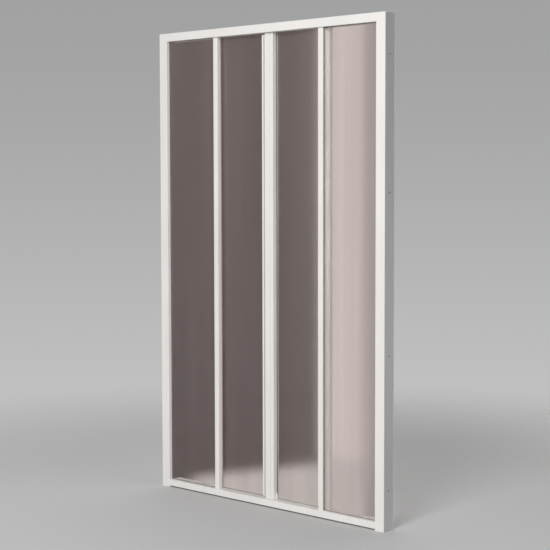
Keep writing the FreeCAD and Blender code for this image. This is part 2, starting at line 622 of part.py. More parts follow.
def make_fixed_panel(side, sign):
    """Fixed glass with its gasket, the stile along its free edge and the seal behind that stile."""
    wall = s.profile_wall
    slot = f"({FIXED_STILE_FAR} - {s.stile_bite})"
    outline = [
        (FIXED_STILE_NEAR, FIXED_STILE_FRONT),
        (FIXED_STILE_FAR, FIXED_STILE_FRONT),
        (FIXED_STILE_FAR, SLOT_FRONT),
        (slot, SLOT_FRONT),
        (slot, SLOT_BACK),
        (FIXED_STILE_FAR, SLOT_BACK),
        (FIXED_STILE_FAR, FIXED_STILE_BACK),
        (FIXED_STILE_NEAR, FIXED_STILE_BACK),
    ]
    hollow_x = (f"({FIXED_STILE_NEAR} + {wall})", f"({slot} - {wall})")
    hollow_y = (f"({FIXED_STILE_FRONT} + {wall})", f"({FIXED_STILE_BACK} - {wall})")
    chamber = rectangle(*hollow_x, *hollow_y)
    corners = flipped(sign, [(FIXED_STILE_NEAR, FIXED_STILE_FRONT), (FIXED_STILE_FAR, FIXED_STILE_FRONT)])
    loops = [flipped(sign, outline), flipped(sign, chamber)]
    name = f"fixed_stile_{side}"
    keep(name, extrusion(name, "XY_Plane", loops, SILL_TOP, HEAD_LOW, rounds=corners, radius=s.stile_round))
    jamb_slot = f"({JAMB_FACE} + {s.glass_bite})"
    glass_and_gasket(f"fixed_glass_{side}", f"fixed_gasket_{side}", sign, (slot, jamb_slot),
                     (FIXED_GLASS_FRONT, FIXED_GLASS_BACK), (SILL_SLOT_FLOOR, HEAD_SLOT_TOP),
                     (s.stile_bite, s.glass_bite, s.glass_bite, s.glass_bite))
    lip_high = f"({FIXED_STILE_FAR} - {s.lip_inset})"
    lip_low = f"({lip_high} - {s.lip_width})"
    lip_tip = f"({TRAILING_FRONT} - {s.clearance})"
    lip = [
        (lip_low, FIXED_STILE_BACK),
        (lip_high, FIXED_STILE_BACK),
        (f"{lip_high} - {s.lip_taper}", lip_tip),
        (f"{lip_low} + {s.lip_taper}", lip_tip),
    ]
    lip_name = f"lip_seal_{side}"
    keep(lip_name, extrusion(lip_name, "XY_Plane", [flipped(sign, lip)], LEAF_LOW, LEAF_TOP))
    plugs = []
    x = sided(sign, *grown(*hollow_x, f"-{s.push_fit}"))
    stem_y = grown(*hollow_y, f"-{s.push_fit}")
    tongue_y = grown(SLOT_FRONT, SLOT_BACK, f"-{s.push_fit}")
    stem_low = (SILL_TOP, f"({SILL_TOP} + {s.plug_length})")
    tongue_low = (f"({SILL_TOP} - {s.tongue_length})", SILL_TOP)
    stem_high = (f"({HEAD_LOW} - {s.plug_length})", HEAD_LOW)
    tongue_high = (HEAD_LOW, f"({HEAD_LOW} + {s.tongue_length})")
    for end, stem_z, tongue_z in (("low", stem_low, tongue_low), ("high", stem_high, tongue_high)):
        stem = box(f"plug_stem_{side}_{end}", x, stem_y, stem_z)
        tongue = box(f"plug_tongue_{side}_{end}", x, tongue_y, tongue_z)
        plugs.append(fuse(f"plug_{side}_{end}", [stem, tongue]))
    return plugs


def make_fillers():
    """Strips that close the empty glass slots between the fixed stiles, hollow on the hidden side."""
    wall = s.profile_wall
    for name, face, hidden, sense in (
        ("head_filler", HEAD_LOW, f"({HEAD_LOW} + {s.filler_depth})", "+"),
        ("sill_filler", SILL_TOP, f"({SILL_TOP} - {s.filler_depth})", "-"),
    ):
        web = f"({face} {sense} {wall})"
        outline = [
            (SLOT_FRONT, face), (SLOT_BACK, face), (SLOT_BACK, hidden),
            (f"{SLOT_BACK} - {wall}", hidden), (f"{SLOT_BACK} - {wall}", web),
            (f"{SLOT_FRONT} + {wall}", web), (f"{SLOT_FRONT} + {wall}", hidden), (SLOT_FRONT, hidden),
        ]
        keep(name, extrusion(name, "YZ_Plane", [outline], f"-{FIXED_STILE_NEAR}", FIXED_STILE_NEAR))


def make_frame_fasteners():
    """Screws through the jambs into the rails, lock screws with caps, jamb top caps and end bumpers."""
    rail_screws = []
    lock_screws = []
    caps = []
    top_caps = []
    bumpers = []
    flanges = f"(2 * {s.profile_wall} + {s.clearance})"
    cap_inside = f"({s.lock_screw_radius} + {s.screw_head_rim} + {s.clearance})"
    cap_outside = f"({cap_inside} + {s.cap_rim})"
    cap_profile = [
        (cap_inside, "0"),
        (cap_outside, "0"),
        (cap_outside, f"{s.cap_height} / 2"),
        (f"{cap_outside} - {s.cap_height} / 2", s.cap_height),
        ("0", s.cap_height),
        ("0", f"{s.cap_height} - {s.cap_wall}"),
        (cap_inside, f"{s.cap_height} - {s.cap_wall}"),
    ]
    for side, sign in SIDES:
        inward = "-x" if sign > 0 else "+x"
        outward = "+x" if sign > 0 else "-x"
        web = f"{sign} * {JAMB_WEB}"
        for y, z in rail_screw_places():
            rail_screws.append(screw(f"frame_screw_{side}", (web, y, z), inward, s.frame_screw_radius,
                                     f"({s.frame_screw_length} + {s.profile_wall})"))
        for z in lock_screw_heights():
            place = (f"{sign} * {LOCK_SCREW}", BACK, z)
            lock_screws.append(screw(f"lock_screw_{side}", place, "-y", s.lock_screw_radius,
                                     f"({flanges} + {s.lock_screw_reach})"))
            caps.append(turned(f"cap_{side}", cap_profile, place, "+y"))
        cover = box(f"top_cover_{side}", sided(sign, JAMB_FACE, HALF_WIDTH), (FRONT, BACK), (JAMB_TOP, TOP))
        plug_x = (f"({JAMB_FACE} + {s.glass_bite} + {s.profile_wall})", f"({HALF_WIDTH} - {s.profile_wall})")
        stem = box(f"top_plug_{side}", sided(sign, *plug_x), grown(FRONT, BACK, f"-{flanges}"),
                   (f"({JAMB_TOP} - {s.top_cap_plug})", JAMB_TOP))
        top_caps.append(fuse(f"top_cap_{side}", [cover, stem]))
        for end, z in bumper_heights():
            x = sided(sign, f"({JAMB_FACE} - {s.bumper_length})", JAMB_FACE)
            pad = box(f"bumper_{side}_{end}", x, (LEAF_RAIL_FRONT, LEAF_RAIL_BACK),
                      grown(z, z, f"{s.bumper_height} / 2"))
            peg = pin(f"bumper_peg_{side}_{end}", (f"{sign} * {JAMB_FACE}", LEAF_MID, z), outward,
                      s.peg_radius, s.peg_length)
            bumpers.append(fuse(f"end_bumper_{side}_{end}", [pad, peg]))
    keep("frame_screws", group("frame_screws", rail_screws))
    keep("jamb_lock_screws", group("jamb_lock_screws", lock_screws))
    keep("screw_caps", group("screw_caps", caps))
    keep("jamb_top_caps", group("jamb_top_caps", top_caps))
    keep("end_bumpers", group("end_bumpers", bumpers))


def make_meeting_stile(side, sign):
    """Hollow stile at the middle of the doorway, stepped back where the closing strip lies over it."""
    wall = s.profile_wall
    step_edge = STEP_EDGE[side]
    step_front = STEP_FRONT[side]
    groove = f"({s.meeting_face} + {s.magnet_depth})"
    magnet_y = grown(LEAF_MID, LEAF_MID, f"{s.magnet_width} / 2")
    outline = [
        (step_edge, MEETING_FRONT),
        (s.meeting_half_width, MEETING_FRONT),
        (s.meeting_half_width, LEAF_SLOT_FRONT),
        (MEETING_SLOT, LEAF_SLOT_FRONT),
        (MEETING_SLOT, LEAF_SLOT_BACK),
        (s.meeting_half_width, LEAF_SLOT_BACK),
        (s.meeting_half_width, TRAILING_BACK),
        (s.meeting_face, TRAILING_BACK),
        (s.meeting_face, magnet_y[1]),
        (groove, magnet_y[1]),
        (groove, magnet_y[0]),
        (s.meeting_face, magnet_y[0]),
        (s.meeting_face, step_front),
        (step_edge, step_front),
    ]
    front_chamber = rectangle(f"{step_edge} + {wall}", f"{s.meeting_half_width} - {wall}",
                              f"{MEETING_FRONT} + {wall}", f"{LEAF_SLOT_FRONT} - {wall}")
    inner_chamber = rectangle(f"{s.meeting_face} + {wall}", f"{step_edge} - {wall}",
                              f"{step_front} + {wall}", f"{magnet_y[0]} - {wall}")
    loops = [flipped(sign, loop) for loop in (outline, front_chamber, inner_chamber)]
    name = f"meeting_stile_{side}"
    rounds = flipped(sign, [(s.meeting_half_width, MEETING_FRONT)])
    port = (f"{sign} * {MEETING_PORT}", LEAF_MID, LEAF_PORT_RADIUS)
    notched = side == "left"
    stile = extrusion(name + "_profile" if notched else name, "XY_Plane", loops, LEAF_LOW, LEAF_TOP, [port],
                      rounds, s.face_round)
    if notched:
        x = sided(sign, s.meeting_face, s.meeting_half_width)
        y = (MEETING_FRONT, CHANNEL_FRONT)
        low = box(name + "_low_notch", x, y, (LEAF_LOW, f"({LEAF_LOW} + {s.end_notch})"))
        high = box(name + "_high_notch", x, y, (f"({LEAF_TOP} - {s.end_notch})", LEAF_TOP))
        stile = cut(name, stile, [low, high])
    keep(name, stile)
    seal = [
        (groove, magnet_y[0]),
        (groove, magnet_y[1]),
        (s.clearance, f"{magnet_y[1]} - {s.clearance}"),
        (s.clearance, f"{magnet_y[0]} + {s.clearance}"),
    ]
    seal_name = f"magnet_seal_{side}"
    keep(seal_name, extrusion(seal_name, "XY_Plane", [flipped(sign, seal)], LEAF_LOW, LEAF_TOP))


def make_trailing_stile(side, sign):
    """Hollow stile at the edge of a leaf that hides behind the fixed stile."""
    wall = s.profile_wall
    outline = [
        (TRAILING_NEAR, TRAILING_FRONT), (TRAILING_FAR, TRAILING_FRONT), (TRAILING_FAR, TRAILING_BACK),
        (TRAILING_NEAR, TRAILING_BACK), (TRAILING_NEAR, LEAF_SLOT_BACK), (TRAILING_SLOT, LEAF_SLOT_BACK),
        (TRAILING_SLOT, LEAF_SLOT_FRONT), (TRAILING_NEAR, LEAF_SLOT_FRONT),
    ]
    port_far = f"{TRAILING_PORT} + {LEAF_PORT_RADIUS} + {s.port_wall}"
    chamber = rectangle(port_far, f"{TRAILING_FAR} - {wall}", f"{TRAILING_FRONT} + {wall}",
                        f"{TRAILING_BACK} - {wall}")
    port = (f"{sign} * {TRAILING_PORT}", LEAF_MID, LEAF_PORT_RADIUS)
    corners = flipped(sign, [(TRAILING_FAR, TRAILING_FRONT), (TRAILING_FAR, TRAILING_BACK)])
    name = f"trailing_stile_{side}"
    loops = [flipped(sign, outline), flipped(sign, chamber)]
    keep(name, extrusion(name, "XY_Plane", loops, LEAF_LOW, LEAF_TOP, [port], corners, s.face_round))


def make_leaf_rails(side, sign):
    """Top and bottom rails of a leaf, slotted for the glass and drilled for screws and shoe pegs."""
    x = sided(sign, s.meeting_face, TRAILING_FAR)
    for end, open_edge, web_edge, far_edge, axis in (
        ("top", LEAF_TOP, TOP_RAIL_WEB, TOP_RAIL_TOP, "-z"),
        ("bottom", LEAF_LOW, BOTTOM_RAIL_WEB, BOTTOM_RAIL_LOW, "+z"),
    ):
        name = f"leaf_{end}_rail_{side}"
        outline = [
            (LEAF_RAIL_FRONT, open_edge), (LEAF_SLOT_FRONT, open_edge), (LEAF_SLOT_FRONT, web_edge),
            (LEAF_SLOT_BACK, web_edge), (LEAF_SLOT_BACK, open_edge), (LEAF_RAIL_BACK, open_edge),
            (LEAF_RAIL_BACK, far_edge), (LEAF_RAIL_FRONT, far_edge),
        ]
        profile = extrusion(name + "_profile", "YZ_Plane", [outline], *x)
        holes = []
        for across in (MEETING_PORT, TRAILING_PORT):
            start = (f"{sign} * {across}", LEAF_MID, far_edge)
            holes.append(pin(name + "_hole", start, axis, LEAF_PORT_RADIUS, s.leaf_rail_web))
        if end == "top":
            for across in ROLLER_PLACES.values():
                for place in bracket_screw_places(sign, across):
                    start = (place, HANGER_SCREW_MID, far_edge)
                    holes.append(pin(name + "_hanger_hole", start, axis,
                                     f"{s.hanger_screw_radius} + {s.push_fit}", s.leaf_rail_web))
        else:
            for across in GUIDE_PLACES.values():
                start = (f"{sign} * ({across} + {s.guide_length} / 2)", LEAF_MID, far_edge)
                holes.append(pin(name + "_peg_hole", start, axis,
                                 f"{s.guide_peg_radius} + {s.push_fit}", s.leaf_rail_web))
        keep(name, cut(name, profile, holes))


def bracket_screw_places(sign, across):
    """The two screws of the hanger bracket at one roller."""
    reach = f"({s.bracket_length} / 2 - {s.bracket_screw_inset})"
    return [f"{sign} * {across} + {end} * {reach}" for end in (-1, 1)]


def make_hangers(side, sign):
    """Brackets on the top rail with axles, and the rollers and bearings that turn on them."""
    bracket_top = f"({AXLE_HEIGHT} + {s.bracket_margin})"
    roller_front = f"({TRACK_MID} - {s.roller_width} / 2)"
    roller_back = f"({TRACK_MID} + {s.roller_width} / 2)"
    brackets = []
    screws = []
    axles = []
    angle = [
        (LEAF_RAIL_FRONT, TOP_RAIL_TOP), (LEAF_RAIL_BACK, TOP_RAIL_TOP), (LEAF_RAIL_BACK, bracket_top),
        (BRACKET_FRONT, bracket_top), (BRACKET_FRONT, BRACKET_BASE_TOP),
        (LEAF_RAIL_FRONT, BRACKET_BASE_TOP),
    ]
    ring = f"({s.axle_radius} + {s.push_fit})"
    flange = f"({s.axle_radius} + {s.axle_flange})"
    flange_end = f"({roller_front} - {s.clearance})"
    ring_start = f"({roller_back} + {s.clearance})"
    ring_end = f"({ring_start} + {s.axle_flange} / 2)"
    axle_profile = [
        ("0", "0"),
        (s.axle_radius, "0"),
        (s.axle_radius, s.bracket_thickness),
        (flange, s.bracket_thickness),
        (flange, f"{flange_end} - {BRACKET_FRONT}"),
        (s.axle_radius, f"{flange_end} - {BRACKET_FRONT}"),
        (s.axle_radius, f"{ring_start} - {BRACKET_FRONT}"),
        (flange, f"{ring_start} - {BRACKET_FRONT}"),
        (flange, f"{ring_end} - {BRACKET_FRONT}"),
        ("0", f"{ring_end} - {BRACKET_FRONT}"),
    ]
    groove_half = f"({s.bead_width} / 2 + {s.clearance})"
    tread = f"({ROLLER_RADIUS} - {s.bead_height} - {s.clearance})"
    hub = f"({BEARING_RADIUS} + {s.push_fit})"
    roller_profile = [
        (hub, f"-{s.roller_width} / 2"),
        (ROLLER_RADIUS, f"-{s.roller_width} / 2"),
        (ROLLER_RADIUS, f"-{groove_half}"),
        (tread, f"-{groove_half}"),
        (tread, groove_half),
        (ROLLER_RADIUS, groove_half),
        (ROLLER_RADIUS, f"{s.roller_width} / 2"),
        (hub, f"{s.roller_width} / 2"),
    ]
    bearing_profile = rectangle(ring, BEARING_RADIUS, f"-{s.roller_width} / 2", f"{s.roller_width} / 2")
    for which, across in ROLLER_PLACES.items():
        middle = f"({sign} * {across})"
        ends = grown(middle, middle, f"{s.bracket_length} / 2")
        plate = extrusion(f"bracket_{side}_{which}_angle", "YZ_Plane", [angle], *ends)
        holes = [pin(f"bracket_{side}_{which}_axle_hole", (middle, BRACKET_FRONT, AXLE_HEIGHT), "+y", ring,
                     s.bracket_thickness)]
        for place in bracket_screw_places(sign, across):
            seat = (place, HANGER_SCREW_MID, BRACKET_BASE_TOP)
            holes.append(pin(f"bracket_{side}_{which}_hole", seat, "-z",
                             f"{s.hanger_screw_radius} + {s.push_fit}", s.bracket_thickness))
            screws.append(screw(f"hanger_screw_{side}_{which}", seat, "-z", s.hanger_screw_radius,
                                f"({s.bracket_thickness} + {s.leaf_rail_web})"))
        brackets.append(cut(f"bracket_{side}_{which}", plate, holes))
        axles.append(turned(f"axle_{side}_{which}", axle_profile, (middle, BRACKET_FRONT, AXLE_HEIGHT), "+y"))
        centre = (middle, TRACK_MID, AXLE_HEIGHT)
        keep(f"roller_{side}_{which}", turned(f"roller_{side}_{which}", roller_profile, centre, "+y"))
        keep(f"roller_bearing_{side}_{which}",
             turned(f"roller_bearing_{side}_{which}", bearing_profile, centre, "+y"))
    keep(f"hanger_brackets_{side}", group(f"hanger_brackets_{side}", brackets))
    keep(f"hanger_screws_{side}", group(f"hanger_screws_{side}", screws))
    keep(f"roller_axles_{side}", group(f"roller_axles_{side}", axles))


def make_leaf_small_parts(side, sign):
    """Corner screws of a leaf, its guide shoes in the sill channel and the foot of its meeting stile."""
    screws = []
    shoes = []
    reach = f"({s.leaf_rail_height} + {s.leaf_screw_length})"
    for across in (MEETING_PORT, TRAILING_PORT):
        x = f"{sign} * {across}"
        screws.append(screw(f"leaf_screw_top_{side}", (x, LEAF_MID, TOP_RAIL_TOP), "-z",
                            s.leaf_screw_radius, reach))
        screws.append(screw(f"leaf_screw_bottom_{side}", (x, LEAF_MID, BOTTOM_RAIL_LOW), "+z",
                            s.leaf_screw_radius, reach))
    for which, across in GUIDE_PLACES.items():
        x = sided(sign, across, f"({across} + {s.guide_length})")
        y = grown(CHANNEL_FRONT, CHANNEL_BACK, f"-{s.clearance}")
        pad = box(f"guide_pad_{side}_{which}", x, y, (f"({SILL_FLOOR} + {s.guide_gap})", BOTTOM_RAIL_LOW))
        middle = f"{sign} * ({across} + {s.guide_length} / 2)"
        peg = pin(f"guide_peg_{side}_{which}", (middle, LEAF_MID, BOTTOM_RAIL_LOW), "+z",
                  s.guide_peg_radius, s.leaf_rail_web)
        shoes.append(fuse(f"guide_shoe_{side}_{which}", [pad, peg]))
    keep(f"leaf_screws_{side}", group(f"leaf_screws_{side}", screws))
    keep(f"guide_shoes_{side}", group(f"guide_shoes_{side}", shoes))
    foot_depth = (f"(-{LEAF_SLOT_FRONT})", f"({s.foot_depth} - {LEAF_SLOT_FRONT})")
    foot_far = f"({s.meeting_half_width} + {s.foot_width})"
    foot_top = f"({LEAF_LOW} + {s.foot_height})"
    taper = [
        (s.meeting_half_width, LEAF_LOW),
        (foot_far, LEAF_LOW),
        (foot_far, f"{LEAF_LOW} + {s.foot_edge}"),
        (f"{s.meeting_half_width} + {s.foot_top}", foot_top),
        (s.meeting_half_width, foot_top),
    ]
    name = f"stile_foot_{side}"
    keep(name, extrusion(name, "XZ_Plane", [flipped(sign, taper)], *foot_depth))


def make_leaf(side, sign):
    """One sliding leaf with everything that travels with it."""
    make_meeting_stile(side, sign)
    make_trailing_stile(side, sign)
    make_leaf_rails(side, sign)
    rail_bite = f"({s.leaf_rail_height} - {s.leaf_rail_web})"
    bites = (s.stile_bite, s.stile_bite, rail_bite, rail_bite)
    glass_and_gasket(f"leaf_glass_{side}", f"leaf_gasket_{side}", sign, (MEETING_SLOT, TRAILING_SLOT),
                     (LEAF_GLASS_FRONT, LEAF_GLASS_BACK), (BOTTOM_RAIL_WEB, TOP_RAIL_WEB), bites)
    make_hangers(side, sign)
    make_leaf_small_parts(side, sign)


def make_closing_strip():
    """Cover over the middle gap, seated on the right leaf's stile and clear of the left one."""
    seat = STEP_FRONT["right"]
    outline = [
        (f"-{s.closing_half_width}", CLOSING_FRONT), (s.closing_half_width, CLOSING_FRONT),
        (s.closing_half_width, seat), (s.meeting_face, seat), (s.meeting_face, CLOSING_BACK),
        (f"-{s.closing_half_width}", CLOSING_BACK),
    ]
    edges = [(f"-{s.closing_half_width}", CLOSING_FRONT), (s.closing_half_width, CLOSING_FRONT)]
    keep("closing_strip", extrusion("closing_strip", "XY_Plane", [outline], LEAF_LOW, LEAF_TOP,
                                    rounds=edges, radius=s.face_round))


make_head_rail()
make_sill_rail()
make_sill_seal()
make_fillers()
make_frame_fasteners()
stile_plugs = []
for side_name, side_sign in SIDES:
    make_wall_channel(side_name, side_sign)
    make_jamb(side_name, side_sign)
    stile_plugs += make_fixed_panel(side_name, side_sign)
    make_leaf(side_name, side_sign)
keep("fixed_stile_plugs", group("fixed_stile_plugs", stile_plugs))
make_closing_strip()
doc.recompute()

for item in doc.Objects:
    if "Invalid" in item.State or "Error" in item.State:
        raise RuntimeError(f"{item.Label} failed: {item.State}")
for node_name, node in nodes.items():
    if node.Shape.isNull() or not node.Shape.isValid() or not node.Shape.Solids:
        raise RuntimeError(f"{node_name} has no sound solid")

os.makedirs("parts", exist_ok=True)
for node_name, node in nodes.items():
    node.Shape.exportStep(f"parts/{node_name}.step")
    print(node_name, len(node.Shape.Solids), "solids,", round(node.Shape.Volume), "mm3")
print(len(nodes), "nodes")
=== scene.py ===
"""White sliding shower door with four satin glass panels: panes, seals, finishes and studio."""
import json
import math

import bmesh
import bpy
from bpy.props import FloatProperty, FloatVectorProperty, PointerProperty
from bpy.types import Operator, Panel, PropertyGroup
from mathutils import Matrix, Vector


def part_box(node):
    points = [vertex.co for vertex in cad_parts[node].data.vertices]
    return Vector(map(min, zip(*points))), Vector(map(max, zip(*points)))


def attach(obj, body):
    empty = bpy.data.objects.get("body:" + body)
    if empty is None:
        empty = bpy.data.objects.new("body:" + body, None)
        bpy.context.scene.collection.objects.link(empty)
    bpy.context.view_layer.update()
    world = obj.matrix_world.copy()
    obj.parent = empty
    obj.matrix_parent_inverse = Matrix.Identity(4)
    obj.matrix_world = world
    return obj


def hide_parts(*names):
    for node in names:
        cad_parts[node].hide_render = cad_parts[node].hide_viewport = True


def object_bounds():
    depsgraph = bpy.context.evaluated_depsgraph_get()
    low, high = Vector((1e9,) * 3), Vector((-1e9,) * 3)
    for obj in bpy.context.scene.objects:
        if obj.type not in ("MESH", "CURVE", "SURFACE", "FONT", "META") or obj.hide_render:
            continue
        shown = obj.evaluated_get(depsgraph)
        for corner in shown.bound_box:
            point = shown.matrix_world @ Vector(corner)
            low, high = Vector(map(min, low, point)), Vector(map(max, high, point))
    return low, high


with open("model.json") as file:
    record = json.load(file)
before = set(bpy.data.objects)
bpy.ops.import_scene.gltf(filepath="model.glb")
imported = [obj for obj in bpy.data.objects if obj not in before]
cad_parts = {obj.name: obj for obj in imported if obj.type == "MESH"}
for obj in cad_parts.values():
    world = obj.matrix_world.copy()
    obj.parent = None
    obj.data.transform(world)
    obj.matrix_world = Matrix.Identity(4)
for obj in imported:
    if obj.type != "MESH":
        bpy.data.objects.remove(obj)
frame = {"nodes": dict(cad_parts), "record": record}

bl_info = {
    "name": "Sliding shower door",
    "version": (1, 0, 0),
    "blender": (4, 5, 0),
    "location": "3D View > Sidebar > Shower Door",
    "description": "Panes, seals, finishes and studio of a four-panel sliding shower door",
    "category": "Add Mesh",
}

CAD_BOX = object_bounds()
BODY_OF = {node: body for body, nodes in frame["record"]["behaviour"]["bodies"].items() for node in nodes}
SLOT_OF = {part["node"]: part["material_slot"] for part in frame["record"]["subparts"]}
SIDES = ("left", "right")
PANE_KINDS = ("fixed", "leaf")
AXIS_X = 0
AXIS_Z = 2
MILLIMETRE = 0.001

# Corners closer than this are joined
WELD_DISTANCE = MILLIMETRE / 100
# An edge runs along an axis if more than this share of its length does
STRAIGHT_SHARE = 0.99
# Faces of a smooth piece that meet at more than this angle keep a sharp edge
SHARP_ANGLE = math.radians(35)
# Facets of a domed cap from its rim to its top, and round its middle
DOME_STEPS = 5
SPIN_STEPS = 40
# Straight sides of the round floor
FLOOR_SEGMENTS = 96
# Height of the upright cards, and width of the back card, over those of the door
CARD_RISE = 1.3
CARD_SPAN = 2.0
# Width of the camera's sensor in millimetres
SENSOR_WIDTH = 36.0

# Sockets of a Mix node that blends two colours
MIX_MASK = 0
MIX_FIRST = 6
MIX_SECOND = 7
MIX_RESULT = 2

# Soft changes of tone or light: a direction, and where along it the change starts and ends.
# The first four pass through the camera: along the photo's low pale band, by its left end, by the
# corner of the recess, and by the shaded right edge of the door.
# On the glowing cards these paint light and shade: a pale lit band low down, painted shade by the left
# jamb, pale again by the far corner, painted shade on the right and a paler top.
LOW_GRADE = {"along": (0.208, -0.078, -0.975), "start": -0.181, "end": -0.110}
LEFT_GRADE = {"along": (-0.689, -0.725, 0.0), "start": 0.260, "end": 0.357}
CORNER_GRADE = {"along": (0.754, 0.657, 0.0), "start": 0.185, "end": 0.241}
RIGHT_GRADE = {"along": (0.772, 0.636, 0.0), "start": 0.355, "end": 0.390}
RISE_GRADE = {"along": (0.0, 0.0, 1.0), "start": 0.2, "end": 2.1}
BACKDROP_GRADE = {"along": (0.0, 0.0, 1.0), "start": -0.28, "end": 0.14}
BACK_LIGHT = {"along": (-0.6, 0.75, 0.28), "start": 0.25, "end": 1.0}

# Materials made so far, by the name of their slot
FINISHES = {}


def length_property(name, description, millimetres):
    """A length that the panel shows in the scene's units."""
    return FloatProperty(name=name, description=description, default=millimetres * MILLIMETRE,
                         min=0.0, unit="LENGTH", precision=5)


def colour_property(name, description, colour):
    """A linear colour with a swatch."""
    return FloatVectorProperty(name=name, description=description, default=colour, min=0.0, max=1.0,
                               size=3, subtype="COLOR")


def share_property(name, description, share):
    """A plain number from nothing to one."""
    return FloatProperty(name=name, description=description, default=share, min=0.0, max=1.0,
                         subtype="FACTOR")


def strength_property(name, description, strength):
    """A strength of light, with no upper limit."""
    return FloatProperty(name=name, description=description, default=strength, min=0.0,
                         subtype="UNSIGNED")


def place_property(name, description, place):
    """A point in the scene."""
    return FloatVectorProperty(name=name, description=description, default=place, size=3,
                               subtype="TRANSLATION", unit="LENGTH")


def angle_property(name, description, degrees):
    """An angle that the panel shows in degrees."""
    return FloatProperty(name=name, description=description, default=math.radians(degrees),
                         subtype="ANGLE")


class DoorFinishes(PropertyGroup):
    """Colours and gloss of the door's materials."""

    coat: colour_property("Coat", "White powder coat of the profiles", (0.84, 0.815, 0.79))
    coat_gloss: share_property("Coat roughness", "Roughness of the powder coat", 0.38)
    tint: colour_property("Glass tint", "Faint warm tint of the satin panes", (0.79, 0.745, 0.725))
    satin: share_property("Satin", "Roughness of the panes, which blurs what lies behind them", 0.13)
    etch: share_property("Etch", "Share of the light that a pane's etched faces scatter", 0.0555)
    shade: colour_property("Glass shade", "Light that a pane lets through to what lies behind it",
                           (0.48, 0.48, 0.48))
    rubber: colour_property("Rubber", "Glazing gaskets and lip seals", (0.10, 0.097, 0.094))
    magnet: colour_property("Magnet strip", "Soft strips where the leaves meet", (0.62, 0.61, 0.58))
    plastic: colour_property("Plastic", "Moulded caps, feet and fillers", (0.80, 0.79, 0.77))
    nylon: colour_property("Nylon", "Rollers and guide shoes", (0.72, 0.69, 0.60))
    steel: colour_property("Steel", "Screws, brackets, axles and bearings", (0.60, 0.60, 0.61))
    aluminium: colour_property("Aluminium", "Bare channels on the walls", (0.70, 0.70, 0.71))


class DoorSeals(PropertyGroup):
    """Sizes of the panes' edges and of the soft pieces."""

    arris: length_property("Arris", "Ground edge of a pane", 0.5)
    lip_reach: length_property("Gasket lip", "Rubber that shows beside a profile", 1.0)
    lip_tip: length_property("Lip tip", "Rubber left at the tip of a gasket lip", 0.4)
    fin_root: length_property("Fin root", "Thickness of a lip seal's root", 0.9)
    fin_tip: length_property("Fin tip", "Thickness of a lip seal's blade at its tip", 0.7)
    magnet_bar: length_property("Magnet bar", "Thickness of the bar in a magnet strip", 1.3)
    magnet_neck: length_property("Magnet neck", "Cut on each side of a magnet strip's neck", 1.1)
    bedding_waist: length_property("Bedding waist", "Depth of the waist of the sill's bedding strip", 1.4)
    cap_radius: length_property("Cap radius", "Radius of a push-on cap over a lock screw", 5.75)


class DoorStudio(PropertyGroup):
    """Camera, lamp, floor, backdrop and the cards behind the door."""

    camera_place: place_property("Camera", "Where the camera stands", (3.8463, -4.0896, 1.3046))
    camera_yaw: angle_property("Yaw", "Camera's turn to the left", 43.038)
    camera_pitch: angle_property("Pitch", "Camera's tilt above level", -3.9)
    camera_roll: angle_property("Roll", "Camera's lean", -0.114)
    lens: FloatProperty(name="Lens", description="Focal length on a 36 mm sensor", default=93.52, min=1.0,
                        subtype="DISTANCE_CAMERA")
    key_power: FloatProperty(name="Key lamp", description="Power of the large soft lamp in front",
                             default=386.0, min=0.0, unit="POWER")
    key_place: place_property("Key lamp, place", "Where the lamp hangs", (2.4, -6.1, 3.6))
    key_aim: place_property("Key lamp, aim", "The point that the lamp faces", (0.0, 0.0, 0.95))
    key_size: length_property("Key lamp, size", "Width of the lamp's disk", 3500.0)
    fill: strength_property("Fill", "Light from all round", 0.26)
    back_fill: strength_property("Back fill", "Light from behind, on the left", 1.1)
    floor_colour: colour_property("Floor", "Plain pale floor", (0.60, 0.60, 0.60))
    floor_radius: length_property("Floor, reach", "Radius of the floor", 4000.0)
    floor_start: length_property("Floor, fade starts", "Where the floor starts to fade", 1200.0)
    floor_end: length_property("Floor, fade ends", "Where only the backdrop is left", 3600.0)
    backdrop_low: colour_property("Backdrop, low", "Backdrop near the floor", (0.58, 0.58, 0.58))
    backdrop_high: colour_property("Backdrop, high", "Backdrop above the door", (0.36, 0.36, 0.365))
    # The cards glow. Their colours are painted light and shade of a recess: a dark side wall in painted
    # shade, a lit back and tray, and painted shade on the right part.
    side_card: colour_property("Side card", "Dark card seen only through the glass", (0.026, 0.0, 0.0))
    side_top: colour_property("Side card, top", "Its tone toward the top", (0.063, 0.032, 0.029))
    back_card: colour_property("Back card", "Pale card seen only through the glass", (0.76, 0.672, 0.655))
    back_shade: colour_property("Shaded card", "Right part of the back card and the tray card",
                                (0.36, 0.317, 0.310))
    tray_card: colour_property("Tray card", "Pale low tone of the side card and the tray card",
                               (0.60, 0.555, 0.545))
    recess_depth: length_property("Recess depth", "From the door to the back card", 940.0)


def finishes():
    """The finishes set in the panel."""
    return bpy.context.scene.shower_door_finishes


def seals():
    """The sizes of the soft pieces set in the panel."""
    return bpy.context.scene.shower_door_seals


def studio():
    """The studio set in the panel."""
    return bpy.context.scene.shower_door_studio


# Node groups and materials


def add_node(tree, kind, place, **values):
    """Adds a node, sets its inputs by name and its options by attribute."""
    node = tree.nodes.new(kind)
    node.location = place
    for name, value in values.items():
        if name in node.inputs:
            node.inputs[name].default_value = value
        else:
            setattr(node, name, value)
    return node


def new_group(name, inputs):
    """Shader node group with number inputs and one number output called Mask."""
    group = bpy.data.node_groups.new(name, "ShaderNodeTree")
    for socket, default in inputs.items():
        made = group.interface.new_socket(name=socket, in_out="INPUT", socket_type="NodeSocketFloat")
        made.default_value = default
    group.interface.new_socket(name="Mask", in_out="OUTPUT", socket_type="NodeSocketFloat")
    start = add_node(group, "NodeGroupInput", (-800, 0))
    end = add_node(group, "NodeGroupOutput", (600, 0))
    return group, start, end


